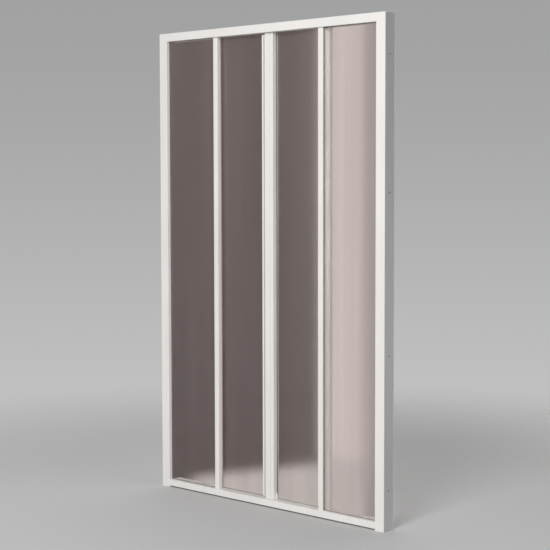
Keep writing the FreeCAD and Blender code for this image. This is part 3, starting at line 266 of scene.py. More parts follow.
def grain_group():
    """Fine even grain, such as the skin of powder coat, moulded plastic or etched glass."""
    group = bpy.data.node_groups.get("fine_grain")
    if group:
        return group
    group, start, end = new_group("fine_grain", {"Scale": 900.0, "Detail": 2.0})
    place = add_node(group, "ShaderNodeTexCoord", (-800, -200))
    noise = add_node(group, "ShaderNodeTexNoise", (-300, 0), Roughness=0.55)
    group.links.new(place.outputs["Object"], noise.inputs["Vector"])
    group.links.new(start.outputs["Scale"], noise.inputs["Scale"])
    group.links.new(start.outputs["Detail"], noise.inputs["Detail"])
    group.links.new(noise.outputs["Fac"], end.inputs["Mask"])
    return group


def streak_group():
    """Soft marks drawn out along one axis: wipe marks on glass, drawing lines on metal."""
    group = bpy.data.node_groups.get("drawn_streaks")
    if group:
        return group
    inputs = {"Across X": 30.0, "Across Y": 30.0, "Along Z": 2.0, "Low": 0.35, "High": 0.65}
    group, start, end = new_group("drawn_streaks", inputs)
    place = add_node(group, "ShaderNodeTexCoord", (-800, -300))
    scale = add_node(group, "ShaderNodeCombineXYZ", (-600, 0))
    stretch = add_node(group, "ShaderNodeVectorMath", (-400, 0), operation="MULTIPLY")
    noise = add_node(group, "ShaderNodeTexNoise", (-200, 0), Scale=1.0, Detail=3.0, Roughness=0.5)
    level = add_node(group, "ShaderNodeMapRange", (200, 0), interpolation_type="SMOOTHSTEP")
    for axis, socket in zip("XYZ", ("Across X", "Across Y", "Along Z")):
        group.links.new(start.outputs[socket], scale.inputs[axis])
    group.links.new(place.outputs["Object"], stretch.inputs[0])
    group.links.new(scale.outputs["Vector"], stretch.inputs[1])
    group.links.new(stretch.outputs["Vector"], noise.inputs["Vector"])
    group.links.new(noise.outputs["Fac"], level.inputs["Value"])
    group.links.new(start.outputs["Low"], level.inputs["From Min"])
    group.links.new(start.outputs["High"], level.inputs["From Max"])
    group.links.new(level.outputs["Result"], end.inputs["Mask"])
    return group


def splash_group():
    """Dried splashes that thin out with height above the tray."""
    group = bpy.data.node_groups.get("low_splashes")
    if group:
        return group
    group, start, end = new_group("low_splashes", {"Height": 0.3, "Spot Scale": 60.0})
    place = add_node(group, "ShaderNodeTexCoord", (-800, -300))
    parts = add_node(group, "ShaderNodeSeparateXYZ", (-600, -300))
    fade = add_node(group, "ShaderNodeMapRange", (-300, -300), interpolation_type="SMOOTHSTEP")
    fade.inputs["To Min"].default_value = 1.0
    fade.inputs["To Max"].default_value = 0.0
    spots = add_node(group, "ShaderNodeTexNoise", (-300, 100), Detail=4.0, Roughness=0.6)
    patch = add_node(group, "ShaderNodeMapRange", (0, 100), interpolation_type="SMOOTHSTEP")
    patch.inputs["From Min"].default_value = 0.45
    patch.inputs["From Max"].default_value = 0.75
    both = add_node(group, "ShaderNodeMath", (300, 0), operation="MULTIPLY")
    group.links.new(place.outputs["Object"], parts.inputs["Vector"])
    group.links.new(parts.outputs["Z"], fade.inputs["Value"])
    group.links.new(start.outputs["Height"], fade.inputs["From Max"])
    group.links.new(place.outputs["Object"], spots.inputs["Vector"])
    group.links.new(start.outputs["Spot Scale"], spots.inputs["Scale"])
    group.links.new(spots.outputs["Fac"], patch.inputs["Value"])
    group.links.new(fade.outputs["Result"], both.inputs[0])
    group.links.new(patch.outputs["Result"], both.inputs[1])
    group.links.new(both.outputs["Value"], end.inputs["Mask"])
    return group


def place_group(tree, group, place, **values):
    """Puts a node group into a material and sets its inputs, given with _ for a space."""
    node = add_node(tree, "ShaderNodeGroup", place)
    node.node_tree = group
    for name, value in values.items():
        node.inputs[name.replace("_", " ")].default_value = value
    return node


def new_material(name):
    """Material with an empty tree but for its shader and output."""
    material = bpy.data.materials.new(name)
    material.use_nodes = True
    tree = material.node_tree
    shader = tree.nodes["Principled BSDF"]
    return material, tree, shader


def blend_colour(tree, mask, first, second, place):
    """Colour from the first (a colour or a socket) to the second as a mask goes from 0 to 1."""
    mix = add_node(tree, "ShaderNodeMix", place, data_type="RGBA")
    if isinstance(first, bpy.types.NodeSocket):
        tree.links.new(first, mix.inputs[MIX_FIRST])
    else:
        mix.inputs[MIX_FIRST].default_value = (*first, 1.0)
    mix.inputs[MIX_SECOND].default_value = (*second, 1.0)
    tree.links.new(mask, mix.inputs[MIX_MASK])
    return mix.outputs[MIX_RESULT]


def grade_mask(tree, coordinates, grade, place):
    """Mask that rises softly from 0 to 1 along a direction."""
    left, up = place
    reach = add_node(tree, "ShaderNodeVectorMath", (left, up), operation="DOT_PRODUCT")
    reach.inputs[1].default_value = grade["along"]
    rise = add_node(tree, "ShaderNodeMapRange", (left + 200, up), interpolation_type="SMOOTHSTEP")
    rise.inputs["From Min"].default_value = grade["start"]
    rise.inputs["From Max"].default_value = grade["end"]
    tree.links.new(coordinates, reach.inputs[0])
    tree.links.new(reach.outputs["Value"], rise.inputs["Value"])
    return rise.outputs["Result"]


def spread(tree, mask, low, high, place):
    """Number that goes from low to high as a mask goes from 0 to 1."""
    level = add_node(tree, "ShaderNodeMapRange", place)
    level.inputs["To Min"].default_value = low
    level.inputs["To Max"].default_value = high
    tree.links.new(mask, level.inputs["Value"])
    return level.outputs["Result"]


def raise_grain(tree, shader, mask, strength, distance, place):
    """Bump under a shader from a mask."""
    bump = add_node(tree, "ShaderNodeBump", place, Strength=strength, Distance=distance)
    tree.links.new(mask, bump.inputs["Height"])
    tree.links.new(bump.outputs["Normal"], shader.inputs["Normal"])


def scaled(colour, factor):
    """A colour made lighter or darker."""
    return tuple(min(channel * factor, 1.0) for channel in colour)


def coat_material():
    """White satin powder coat with a fine skin and faint dried splashes low down."""
    material, tree, shader = new_material("white_powder_coat")
    colour = tuple(finishes().coat)
    gloss = finishes().coat_gloss
    deeper = scaled(colour, 0.975)
    paler = scaled(colour, 1.015)
    splashed = scaled(colour, 0.955)
    tone = place_group(tree, streak_group(), (-900, 300), Across_X=9.0, Across_Y=9.0, Along_Z=3.0)
    splash = place_group(tree, splash_group(), (-900, 0), Height=0.25, Spot_Scale=90.0)
    skin = place_group(tree, grain_group(), (-900, -300), Scale=1100.0, Detail=2.0)
    clean = blend_colour(tree, tone.outputs["Mask"], deeper, paler, (-600, 300))
    marked = blend_colour(tree, splash.outputs["Mask"], clean, splashed, (-300, 200))
    roughness = spread(tree, tone.outputs["Mask"], low=gloss - 0.04, high=gloss + 0.05, place=(-600, 0))
    tree.links.new(marked, shader.inputs["Base Color"])
    tree.links.new(roughness, shader.inputs["Roughness"])
    raise_grain(tree, shader, skin.outputs["Mask"], strength=0.12, distance=0.0002, place=(-300, -300))
    return material


def glass_material():
    """Satin glass with a faint warm tint, wipe marks and dried splashes near the sill.

    Shadow rays pass straight through, dimmed, so that light reaches what lies behind a pane.
    """
    material, tree, shader = new_material("satin_glass")
    colour = tuple(finishes().tint)
    satin = finishes().satin
    deeper = scaled(colour, 0.93)
    paler = scaled(colour, 1.06)
    splashed = scaled(colour, 0.95)
    wipes = place_group(tree, streak_group(), (-900, 300), Across_X=11.0, Across_Y=11.0, Along_Z=0.35,
                        Low=0.3, High=0.7)
    splash = place_group(tree, splash_group(), (-900, 0), Height=0.45, Spot_Scale=130.0)
    etch = place_group(tree, grain_group(), (-900, -300), Scale=1600.0, Detail=1.0)
    clean = blend_colour(tree, wipes.outputs["Mask"], deeper, paler, (-600, 300))
    marked = blend_colour(tree, splash.outputs["Mask"], clean, splashed, (-300, 200))
    roughness = spread(tree, splash.outputs["Mask"], low=satin, high=satin + 0.05, place=(-600, 0))
    tree.links.new(marked, shader.inputs["Base Color"])
    tree.links.new(roughness, shader.inputs["Roughness"])
    raise_grain(tree, shader, etch.outputs["Mask"], strength=0.05, distance=0.0001, place=(-300, -300))
    shader.inputs["Transmission Weight"].default_value = 1.0 - finishes().etch
    shader.inputs["IOR"].default_value = 1.5
    light = add_node(tree, "ShaderNodeLightPath", (0, 500))
    clear = add_node(tree, "ShaderNodeBsdfTransparent", (0, 150), Color=(*finishes().shade, 1.0))
    mix = add_node(tree, "ShaderNodeMixShader", (400, 300))
    output = tree.nodes["Material Output"]
    output.location = (600, 300)
    tree.links.new(light.outputs["Is Shadow Ray"], mix.inputs["Fac"])
    tree.links.new(shader.outputs["BSDF"], mix.inputs[1])
    tree.links.new(clear.outputs["BSDF"], mix.inputs[2])
    tree.links.new(mix.outputs["Shader"], output.inputs["Surface"])
    return material


def moulded_material(name, colour, roughness, grain, mottle):
    """Plain moulded material, plastic or rubber, with a fine skin and a slight change of tone."""
    material, tree, shader = new_material(name)
    deeper = scaled(colour, 1.0 - mottle)
    paler = scaled(colour, 1.0 + mottle)
    swing = 0.06
    tone = place_group(tree, streak_group(), (-900, 300), Across_X=25.0, Across_Y=25.0, Along_Z=25.0)
    skin = place_group(tree, grain_group(), (-900, -200), Scale=grain, Detail=3.0)
    shade = blend_colour(tree, tone.outputs["Mask"], deeper, paler, (-600, 300))
    gloss = spread(tree, skin.outputs["Mask"], roughness - swing, roughness + swing, (-600, 0))
    tree.links.new(shade, shader.inputs["Base Color"])
    tree.links.new(gloss, shader.inputs["Roughness"])
    raise_grain(tree, shader, skin.outputs["Mask"], strength=0.15, distance=0.0002, place=(-300, -300))
    return material


def metal_material(name, colour, roughness, scale_x, scale_z):
    """Bare metal with fine drawing lines along the axis that has the smaller scale."""
    material, tree, shader = new_material(name)
    deeper = scaled(colour, 0.88)
    paler = scaled(colour, 1.06)
    swing = 0.08
    lines = place_group(tree, streak_group(), (-900, 200), Across_X=scale_x, Across_Y=900.0,
                        Along_Z=scale_z, Low=0.25, High=0.75)
    shade = blend_colour(tree, lines.outputs["Mask"], deeper, paler, (-600, 300))
    gloss = spread(tree, lines.outputs["Mask"], roughness - swing, roughness + swing, (-600, 0))
    tree.links.new(shade, shader.inputs["Base Color"])
    tree.links.new(gloss, shader.inputs["Roughness"])
    raise_grain(tree, shader, lines.outputs["Mask"], strength=0.1, distance=0.00005, place=(-300, -300))
    shader.inputs["Metallic"].default_value = 1.0
    return material


def finish_for(slot):
    """The material of one of the door's finishes, made when it is first asked for."""
    makers = {
        "white_coat": coat_material,
        "satin_glass": glass_material,
        "grey_rubber": lambda: moulded_material(
            "grey_rubber", finishes().rubber, roughness=0.62, grain=700.0, mottle=0.12),
        "magnet_strip": lambda: moulded_material(
            "magnet_strip", finishes().magnet, roughness=0.5, grain=600.0, mottle=0.03),
        "white_plastic": lambda: moulded_material(
            "white_plastic", finishes().plastic, roughness=0.42, grain=800.0, mottle=0.02),
        "nylon": lambda: moulded_material(
            "natural_nylon", finishes().nylon, roughness=0.36, grain=500.0, mottle=0.05),
        "steel": lambda: metal_material(
            "plain_steel", finishes().steel, roughness=0.3, scale_x=12.0, scale_z=900.0),
        "bare_aluminium": lambda: metal_material(
            "bare_aluminium", finishes().aluminium, roughness=0.36, scale_x=900.0, scale_z=6.0),
    }
    if slot not in FINISHES:
        FINISHES[slot] = makers[slot]()
    return FINISHES[slot]


def finish_nodes(slot):
    """Gives a finish to every shown node of the frame that takes it."""
    material = finish_for(slot)
    for node, wanted in SLOT_OF.items():
        if wanted == slot and not frame["nodes"][node].hide_render:
            mesh = frame["nodes"][node].data
            mesh.materials.clear()
            mesh.materials.append(material)


# Mesh helpers


def add_piece(name, bm, node, smooth=False):
    """Turns a bmesh into the piece that stands for a node of the frame."""
    mesh = bpy.data.meshes.new(name)
    for face in bm.faces:
        face.smooth = smooth
    bm.to_mesh(mesh)
    bm.free()
    if smooth:
        mesh.set_sharp_from_angle(angle=SHARP_ANGLE)
    mesh.materials.append(finish_for(SLOT_OF[node]))
    piece = bpy.data.objects.new(name, mesh)
    bpy.context.scene.collection.objects.link(piece)
    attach(piece, BODY_OF[node])
    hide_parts(node)


def add_strip(bm, profile, low, high, axis):
    """Face with the given corners, drawn out from low to high along X or Z."""
    corners = []
    for first, second in profile:
        corner = Vector((first, second, low)) if axis == AXIS_Z else Vector((low, first, second))
        corners.append(bm.verts.new(corner))
    face = bm.faces.new(corners)
    drawn = bmesh.ops.extrude_face_region(bm, geom=[face])
    travel = Vector((0.0, 0.0, 0.0))
    travel[axis] = high - low
    moved = [item for item in drawn["geom"] if isinstance(item, bmesh.types.BMVert)]
    bmesh.ops.translate(bm, verts=moved, vec=travel)
    bmesh.ops.recalc_face_normals(bm, faces=bm.faces)


def round_long_edges(bm, axis, offset, chosen=None):
    """Rounds the edges that run along an axis, or those of them that a test picks."""
    edges = []
    for edge in bm.edges:
        run = edge.verts[1].co - edge.verts[0].co
        along = abs(run[axis]) > STRAIGHT_SHARE * run.length
        if along and (chosen is None or chosen(edge.verts[0].co)):
            edges.append(edge)
    bmesh.ops.bevel(bm, geom=edges, offset=offset, offset_type="OFFSET", segments=3, profile=0.5,
                    affect="EDGES", material=-1)


def upright(across, up, depth):
    """Low and high corner of an upright rectangle from its (low, high) stretches and its depth."""
    return Vector((across[0], depth, up[0])), Vector((across[1], depth, up[1]))


def sweep_rectangles(bm, rings):
    """Closed band through a row of upright rectangles, the last joined to the first.

    Gives the edges of each rectangle.
    """
    low, high = rings[0]
    corners = [bm.verts.new(low), bm.verts.new((high.x, low.y, low.z)),
               bm.verts.new(high), bm.verts.new((low.x, low.y, high.z))]
    loops = [[bm.edges.new(pair) for pair in zip(corners, corners[1:] + corners[:1])]]
    for next_low, next_high in rings[1:] + rings[:1]:
        grown = bmesh.ops.extrude_edge_only(bm, edges=loops[-1])["geom"]
        corners = [item for item in grown if isinstance(item, bmesh.types.BMVert)]
        loops.append([item for item in grown if isinstance(item, bmesh.types.BMEdge)])
        centre = (low + high) / 2
        ratio = Vector(((next_high.x - next_low.x) / (high.x - low.x), 1.0,
                        (next_high.z - next_low.z) / (high.z - low.z)))
        bmesh.ops.scale(bm, verts=corners, vec=ratio, space=Matrix.Translation(-centre))
        bmesh.ops.translate(bm, verts=corners, vec=(next_low + next_high) / 2 - centre)
        low, high = next_low, next_high
    return loops[:-1]


def shrunk(stretch, by):
    """A (low, high) stretch taken in by the same amount at both ends."""
    return stretch[0] + by, stretch[1] - by


# Operators


class SHOWERDOOR_OT_glass_panes(Operator):
    """Cut the four satin panes with ground edges"""

    bl_idname = "shower_door.glass_panes"
    bl_label = "Glass Panes"

    def execute(self, context):
        for kind in PANE_KINDS:
            for side in SIDES:
                node = f"{kind}_glass_{side}"
                low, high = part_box(node)
                bm = bmesh.new()
                bmesh.ops.create_cube(bm, size=1.0)
                bmesh.ops.scale(bm, verts=bm.verts, vec=high - low)
                bmesh.ops.translate(bm, verts=bm.verts, vec=(low + high) / 2)
                bmesh.ops.bevel(bm, geom=bm.edges[:], offset=seals().arris, offset_type="OFFSET",
                                segments=2, profile=0.5, affect="EDGES", material=-1)
                add_piece(f"{kind}_pane_{side}", bm, node)
        return {"FINISHED"}


class SHOWERDOOR_OT_glazing_gaskets(Operator):
    """Wrap each pane's edges in a rubber channel with tapered lips"""

    bl_idname = "shower_door.glazing_gaskets"
    bl_label = "Glazing Gaskets"

    def execute(self, context):
        for kind in PANE_KINDS:
            for side in SIDES:
                self.wrap(kind, side)
        return {"FINISHED"}

    def wrap(self, kind, side):
        """One gasket, from the outline of its opening and the pane inside it."""
        node = f"{kind}_gasket_{side}"
        low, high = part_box(node)
        glass_low, glass_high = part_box(f"{kind}_glass_{side}")
        across, up = self.opening(kind, side)
        lip = seals().lip_reach
        tip = seals().lip_tip
        slot = ((low.x, high.x), (low.z, high.z))
        edge = ((glass_low.x, glass_high.x), (glass_low.z, glass_high.z))
        shown = (across, up)
        inner = (shrunk(across, lip), shrunk(up, lip))
        front, back = glass_low.y, glass_high.y
        bm = bmesh.new()
        loops = sweep_rectangles(bm, [
            upright(*slot, low.y), upright(*shown, low.y),
            upright(*inner, front - tip), upright(*inner, front),
            upright(*edge, front), upright(*edge, back),
            upright(*inner, back), upright(*inner, back + tip),
            upright(*shown, high.y), upright(*slot, high.y),
        ])
        front_tip = loops[2]
        back_tip = loops[7]
        bmesh.ops.bevel(bm, geom=front_tip + back_tip, offset=tip / 2, offset_type="OFFSET", segments=2,
                        profile=0.5, affect="EDGES", material=-1)
        bmesh.ops.remove_doubles(bm, verts=bm.verts, dist=WELD_DISTANCE)
        bmesh.ops.recalc_face_normals(bm, faces=bm.faces)
        add_piece(f"{kind}_glazing_{side}", bm, node)

    def opening(self, kind, side):
        """Clear width and height between the profiles that hold a pane."""
        if kind == "fixed":
            posts = (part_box(f"fixed_stile_{side}"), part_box(f"jamb_{side}"))
            up = (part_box("sill_rail")[1].z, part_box("head_rail")[0].z)
        else:
            posts = (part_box(f"meeting_stile_{side}"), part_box(f"trailing_stile_{side}"))
            up = (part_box(f"leaf_bottom_rail_{side}")[1].z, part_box(f"leaf_top_rail_{side}")[0].z)
        left, right = sorted(posts, key=lambda corners: corners[0].x)
        return (left[1].x, right[0].x), up


class SHOWERDOOR_OT_lip_seals(Operator):
    """Draw the finned seals that close the gap behind the fixed stiles"""

    bl_idname = "shower_door.lip_seals"
    bl_label = "Lip Seals"

    def execute(self, context):
        for side in SIDES:
            node = f"lip_seal_{side}"
            low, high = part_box(node)
            middle = (low.x + high.x) / 2
            root = low.y + seals().fin_root
            half_tip = seals().fin_tip / 2
            rounding = 0.8 * half_tip
            lean = half_tip if side == "right" else -half_tip
            profile = [
                (low.x, low.y), (high.x, low.y), (high.x, root), (middle + 2 * half_tip, root),
                (middle + lean + half_tip, high.y), (middle + lean - half_tip, high.y),
                (middle - 2 * half_tip, root), (low.x, root),
            ]
            bm = bmesh.new()
            add_strip(bm, profile, low.z, high.z, axis=AXIS_Z)
            round_long_edges(bm, AXIS_Z, rounding, chosen=lambda place: place.y > low.y + half_tip)
            add_piece(f"fin_seal_{side}", bm, node)
        return {"FINISHED"}


class SHOWERDOOR_OT_magnet_seals(Operator):
    """Draw the soft magnet strips along the closing faces of the leaves"""

    bl_idname = "shower_door.magnet_seals"
    bl_label = "Magnet Strips"

    def execute(self, context):
        for side in SIDES:
            node = f"magnet_seal_{side}"
            low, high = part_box(node)
            outward = 1.0 if side == "right" else -1.0
            face = low.x if side == "right" else high.x
            root = high.x if side == "right" else low.x
            bar = face + outward * seals().magnet_bar
            stile_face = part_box(f"meeting_stile_{side}")[0 if side == "right" else 1].x
            neck = seals().magnet_neck
            inset = neck / 3
            rounding = neck / 5
            profile = [
                (root, low.y), (stile_face, low.y), (stile_face, low.y + neck), (bar, low.y + neck),
                (bar, low.y + inset), (face, low.y + inset), (face, high.y - inset),
                (bar, high.y - inset), (bar, high.y - neck), (stile_face, high.y - neck),
                (stile_face, high.y), (root, high.y),
            ]
            bm = bmesh.new()
            add_strip(bm, profile, low.z, high.z, axis=AXIS_Z)
            round_long_edges(bm, AXIS_Z, rounding, chosen=lambda place: abs(place.x - face) < rounding)
            add_piece(f"magnet_strip_{side}", bm, node)
        return {"FINISHED"}


class SHOWERDOOR_OT_sill_bedding(Operator):
    """Lay the soft waisted strip under the sill"""

    bl_idname = "shower_door.sill_bedding"
    bl_label = "Sill Bedding"

    def execute(self, context):
        low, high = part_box("sill_seal")
        waist = seals().bedding_waist
        half_waist = waist / 2
        rounding = waist / 4
        middle = (low.z + high.z) / 2
        profile = [
            (low.y, low.z), (high.y, low.z), (high.y, middle - half_waist), (high.y - waist, middle),
            (high.y, middle + half_waist), (high.y, high.z), (low.y, high.z), (low.y, middle + half_waist),
            (low.y + waist, middle), (low.y, middle - half_waist),
        ]
        bm = bmesh.new()
        add_strip(bm, profile, low.x, high.x, axis=AXIS_X)
        round_long_edges(bm, AXIS_X, rounding)
        add_piece("sill_bedding", bm, "sill_seal")
        return {"FINISHED"}


class SHOWERDOOR_OT_screw_caps(Operator):
    """Turn the domed caps that cover the lock screws on the shower side"""

    bl_idname = "shower_door.screw_caps"
    bl_label = "Screw Caps"

    def execute(self, context):
        low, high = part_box("screw_caps")
        radius = seals().cap_radius
        rise = high.y - low.y
        heights = (low.z + radius, (low.z + high.z) / 2, high.z - radius)
        bm = bmesh.new()
        for x in (low.x + radius, high.x - radius):
            for z in heights:
                self.turn_cap(bm, Vector((x, low.y, z)), radius, rise)
        bmesh.ops.recalc_face_normals(bm, faces=bm.faces)
        add_piece("domed_caps", bm, "screw_caps", smooth=True)
        return {"FINISHED"}

    def turn_cap(self, bm, foot, radius, rise):
        """One dome, spun about the line through its middle."""
        rim = rise / 3
        outline = [(0.0, 0.0), (radius, 0.0), (radius, rim)]
        for step in range(1, DOME_STEPS + 1):
            angle = math.pi / 2 * step / DOME_STEPS
            outline.append((radius * math.cos(angle), rim + (rise - rim) * math.sin(angle)))
        chain = [bm.verts.new(foot + Vector((across, along, 0.0))) for across, along in outline]
        edges = [bm.edges.new(pair) for pair in zip(chain, chain[1:])]
        bmesh.ops.spin(bm, geom=chain + edges, cent=foot, axis=(0.0, 1.0, 0.0), angle=2 * math.pi,
                       steps=SPIN_STEPS, use_merge=True)
        bmesh.ops.remove_doubles(bm, verts=bm.verts, dist=WELD_DISTANCE)


class SHOWERDOOR_OT_coat_profiles(Operator):
    """Powder-coat every frame and leaf profile"""

    bl_idname = "shower_door.coat_profiles"
    bl_label = "Coat Profiles"

    def execute(self, context):
        finish_nodes("white_coat")
        return {"FINISHED"}


class SHOWERDOOR_OT_finish_fittings(Operator):
    """Finish the moulded fittings, the running gear, the screws and the wall channels"""

    bl_idname = "shower_door.finish_fittings"
    bl_label = "Finish Fittings"

    def execute(self, context):
        for slot in ("white_plastic", "nylon", "steel", "bare_aluminium"):
            finish_nodes(slot)
        return {"FINISHED"}


class SHOWERDOOR_OT_studio(Operator):
    """Set up the floor, cards, backdrop, lamp and camera"""

    bl_idname = "shower_door.studio"
    bl_label = "Studio"

    def execute(self, context):
        context.scene.view_settings.view_transform = "Standard"
        self.lay_floor()
        self.stand_cards()
        self.light_world(context.scene)
        self.hang_lamp()
        self.aim_camera(context.scene)
        return {"FINISHED"}

    def lay_floor(self):
        """Pale floor that fades into the backdrop away from the door."""
        bm = bmesh.new()
        bmesh.ops.create_circle(bm, cap_ends=True, segments=FLOOR_SEGMENTS, radius=studio().floor_radius)
        floor = self.stage_piece("studio_floor", bm)
        material, tree, shader = new_material("pale_floor")
        shader.inputs["Base Color"].default_value = (*studio().floor_colour, 1.0)
        shader.inputs["Roughness"].default_value = 1.0
        shader.inputs["Specular IOR Level"].default_value = 0.0
        place = add_node(tree, "ShaderNodeTexCoord", (-900, 500))
        reach = add_node(tree, "ShaderNodeVectorMath", (-700, 500), operation="LENGTH")
        fade = add_node(tree, "ShaderNodeMapRange", (-500, 500), interpolation_type="SMOOTHSTEP")
        fade.inputs["From Min"].default_value = studio().floor_start
        fade.inputs["From Max"].default_value = studio().floor_end
        clear = add_node(tree, "ShaderNodeBsdfTransparent", (0, 400))
        mix = add_node(tree, "ShaderNodeMixShader", (400, 400))
        tree.links.new(place.outputs["Object"], reach.inputs[0])
        tree.links.new(reach.outputs["Value"], fade.inputs["Value"])
        tree.links.new(fade.outputs["Result"], mix.inputs["Fac"])
        tree.links.new(shader.outputs["BSDF"], mix.inputs[1])
        tree.links.new(clear.outputs["BSDF"], mix.inputs[2])
        tree.links.new(mix.outputs["Shader"], tree.nodes["Material Output"].inputs["Surface"])
        floor.data.materials.append(material)

    def stand_cards(self):
        """Plain glowing cards where a recess has its side, back and floor, seen only through the glass."""
        # Their colours are painted light and shade: a dark side, a lit back and tray, and painted shade on
        # the right.
        low, high = CAD_BOX
        depth = studio().recess_depth
        width = high.x - low.x
        height = CARD_RISE * (high.z - low.z)
        upright_turn = Matrix.Rotation(math.pi / 2, 4, "X")
        side_turn = Matrix.Rotation(math.pi / 2, 4, "Z") @ upright_turn
        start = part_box("fixed_gasket_left")[1].y
        # The side card stands just inside the left jamb, so that its painted shade hides the jamb's back
        # seen through the pane.
        side_place = (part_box("jamb_left")[1].x + MILLIMETRE, start + depth / 2, height / 2)
        back_place = (high.x, depth, height / 2)
        tray_place = (0.0, depth / 2, low.z + MILLIMETRE)
        dark = studio().side_card
        pale = studio().back_card
        side = self.stand_card("side_card", dark, (depth, height), side_place, side_turn)
        tray = self.stand_card("tray_card", dark, (width, depth), tray_place, Matrix.Identity(4))
        back = self.stand_card("back_card", pale, (CARD_SPAN * width, height), back_place, upright_turn)
        # Painted light and shade on the cards: a pale band low down, painted shade again toward the left
        # jamb, a paler top, pale by the far corner and painted shade on the right.
        for card in (side, tray):
            self.grade_card(card, LOW_GRADE, studio().tray_card)
            self.grade_card(card, LEFT_GRADE, dark)
        self.grade_card(side, RISE_GRADE, studio().side_top)
        self.grade_card(tray, CORNER_GRADE, studio().tray_card)
        for card in (tray, back):
            self.grade_card(card, RIGHT_GRADE, studio().back_shade)

    def stand_card(self, name, colour, size, place, turn):
        """One plain card that glows with painted light and shade, so that no lamp or shadow changes it."""
        bm = bmesh.new()
        bmesh.ops.create_grid(bm, x_segments=1, y_segments=1, size=0.5)
        bmesh.ops.scale(bm, verts=bm.verts, vec=(size[0], size[1], 1.0))
        bmesh.ops.transform(bm, matrix=Matrix.Translation(place) @ turn, verts=bm.verts)
        card = self.stage_piece(name, bm)
        material, tree, shader = new_material(name)
        glow = add_node(tree, "ShaderNodeEmission", (0, 300), Color=(*colour, 1.0))
        tree.links.new(glow.outputs["Emission"], tree.nodes["Material Output"].inputs["Surface"])
        tree.nodes.remove(shader)
        card.data.materials.append(material)
        card.visible_camera = False
        card.visible_diffuse = False
        card.visible_glossy = False
        card.visible_shadow = False
        return card

    def grade_card(self, card, grade, colour):
        """Soft change of a card's painted tone to another along a direction."""
        tree = card.data.materials[0].node_tree
        glow = tree.nodes["Emission"].inputs["Color"]
        before = glow.links[0].from_socket if glow.is_linked else glow.default_value[:3]
        place = add_node(tree, "ShaderNodeTexCoord", (-800, 300))
        mask = grade_mask(tree, place.outputs["Object"], grade, (-600, 300))
        tree.links.new(blend_colour(tree, mask, before, colour, (-200, 300)), glow)

    def stage_piece(self, name, bm):
        """Object that belongs to the studio and not to the door."""
        mesh = bpy.data.meshes.new(name)
        bm.to_mesh(mesh)
        bm.free()
        piece = bpy.data.objects.new(name, mesh)
        bpy.context.scene.collection.objects.link(piece)
        return piece

    def light_world(self, scene):
        """Soft light all round, stronger from behind, and a backdrop that grades from pale to grey.

        Rays from the camera, from mirroring faces and through glass see the backdrop. All others
        take the light.
        """
        world = bpy.data.worlds.new("studio_world")
        world.use_nodes = True
        scene.world = world
        tree = world.node_tree
        tree.nodes.clear()
        toward = add_node(tree, "ShaderNodeTexCoord", (-900, 0)).outputs["Generated"]
        height = grade_mask(tree, toward, BACKDROP_GRADE, (-700, -200))
        shade = blend_colour(tree, height, studio().backdrop_low, studio().backdrop_high, (-300, -200))
        shown = add_node(tree, "ShaderNodeBackground", (0, -200))
        tree.links.new(shade, shown.inputs["Color"])
        behind = grade_mask(tree, toward, BACK_LIGHT, (-700, 100))
        strength = spread(tree, behind, low=studio().fill, high=studio().back_fill, place=(-300, 100))
        light = add_node(tree, "ShaderNodeBackground", (0, 100), Color=(1.0, 1.0, 1.0, 1.0))
        tree.links.new(strength, light.inputs["Strength"])
        ray = add_node(tree, "ShaderNodeLightPath", (-300, 400))
        seen = add_node(tree, "ShaderNodeMath", (0, 400), operation="MAXIMUM")
        any_ray = add_node(tree, "ShaderNodeMath", (200, 400), operation="MAXIMUM")
        mix = add_node(tree, "ShaderNodeMixShader", (400, 0))
        output = add_node(tree, "ShaderNodeOutputWorld", (600, 0))
        tree.links.new(ray.outputs["Is Camera Ray"], seen.inputs[0])
        tree.links.new(ray.outputs["Is Glossy Ray"], seen.inputs[1])
        tree.links.new(seen.outputs["Value"], any_ray.inputs[0])
        tree.links.new(ray.outputs["Is Transmission Ray"], any_ray.inputs[1])
        tree.links.new(any_ray.outputs["Value"], mix.inputs["Fac"])
        tree.links.new(light.outputs["Background"], mix.inputs[1])
        tree.links.new(shown.outputs["Background"], mix.inputs[2])
        tree.links.new(mix.outputs["Shader"], output.inputs["Surface"])

    def hang_lamp(self):
        """Large soft lamp in front, to the right and above."""
        lamp = bpy.data.lights.new("key_lamp", "AREA")
        lamp.shape = "DISK"
        lamp.size = studio().key_size
        lamp.energy = studio().key_power
        key = bpy.data.objects.new("key_lamp", lamp)
        key.location = studio().key_place
        aim = Vector(studio().key_aim) - key.location
        key.rotation_euler = aim.to_track_quat("-Z", "Y").to_euler()
        bpy.context.scene.collection.objects.link(key)

    def aim_camera(self, scene):
        """Camera at the photograph's viewing angle."""
        data = bpy.data.cameras.new("door_camera")
        data.sensor_width = SENSOR_WIDTH
        data.lens = studio().lens
        camera = bpy.data.objects.new("door_camera", data)
        turn = Matrix.Rotation(studio().camera_yaw, 4, "Z")
        tilt = Matrix.Rotation(math.pi / 2 + studio().camera_pitch, 4, "X")
        lean = Matrix.Rotation(studio().camera_roll, 4, "Z")
        camera.matrix_world = Matrix.Translation(studio().camera_place) @ turn @ tilt @ lean
        scene.collection.objects.link(camera)
        scene.camera = camera


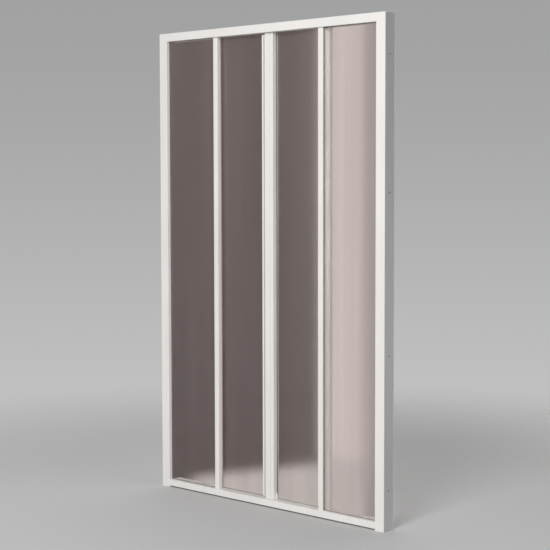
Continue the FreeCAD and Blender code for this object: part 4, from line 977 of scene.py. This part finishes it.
class SHOWERDOOR_PT_panel(Panel):
    """Lists the settings and steps of the door and its studio"""

    bl_idname = "SHOWERDOOR_PT_panel"
    bl_label = "Sliding Shower Door"
    bl_space_type = "VIEW_3D"
    bl_region_type = "UI"
    bl_category = "Shower Door"

    def draw(self, context):
        layout = self.layout
        for title, settings in (("Finishes", finishes()), ("Seals", seals()), ("Studio", studio())):
            box = layout.box()
            box.label(text=title)
            for name in settings.__annotations__:
                box.prop(settings, name)
        for step in STEPS:
            layout.operator(step.bl_idname)


STEPS = (
    SHOWERDOOR_OT_glass_panes,
    SHOWERDOOR_OT_glazing_gaskets,
    SHOWERDOOR_OT_lip_seals,
    SHOWERDOOR_OT_magnet_seals,
    SHOWERDOOR_OT_sill_bedding,
    SHOWERDOOR_OT_screw_caps,
    SHOWERDOOR_OT_coat_profiles,
    SHOWERDOOR_OT_finish_fittings,
    SHOWERDOOR_OT_studio,
)
CLASSES = (DoorFinishes, DoorSeals, DoorStudio, *STEPS, SHOWERDOOR_PT_panel)


def register():
    """Registers the classes and their settings."""
    for item in CLASSES:
        bpy.utils.register_class(item)
    bpy.types.Scene.shower_door_finishes = PointerProperty(type=DoorFinishes)
    bpy.types.Scene.shower_door_seals = PointerProperty(type=DoorSeals)
    bpy.types.Scene.shower_door_studio = PointerProperty(type=DoorStudio)


def unregister():
    """Removes the settings and the classes."""
    del bpy.types.Scene.shower_door_studio
    del bpy.types.Scene.shower_door_seals
    del bpy.types.Scene.shower_door_finishes
    for item in reversed(CLASSES):
        bpy.utils.unregister_class(item)


def main():
    """Builds the whole scene."""
    register()
    bpy.ops.shower_door.glass_panes()
    bpy.ops.shower_door.glazing_gaskets()
    bpy.ops.shower_door.lip_seals()
    bpy.ops.shower_door.magnet_seals()
    bpy.ops.shower_door.sill_bedding()
    bpy.ops.shower_door.screw_caps()
    bpy.ops.shower_door.coat_profiles()
    bpy.ops.shower_door.finish_fittings()
    bpy.ops.shower_door.studio()


if __name__ == "__main__":
    main()
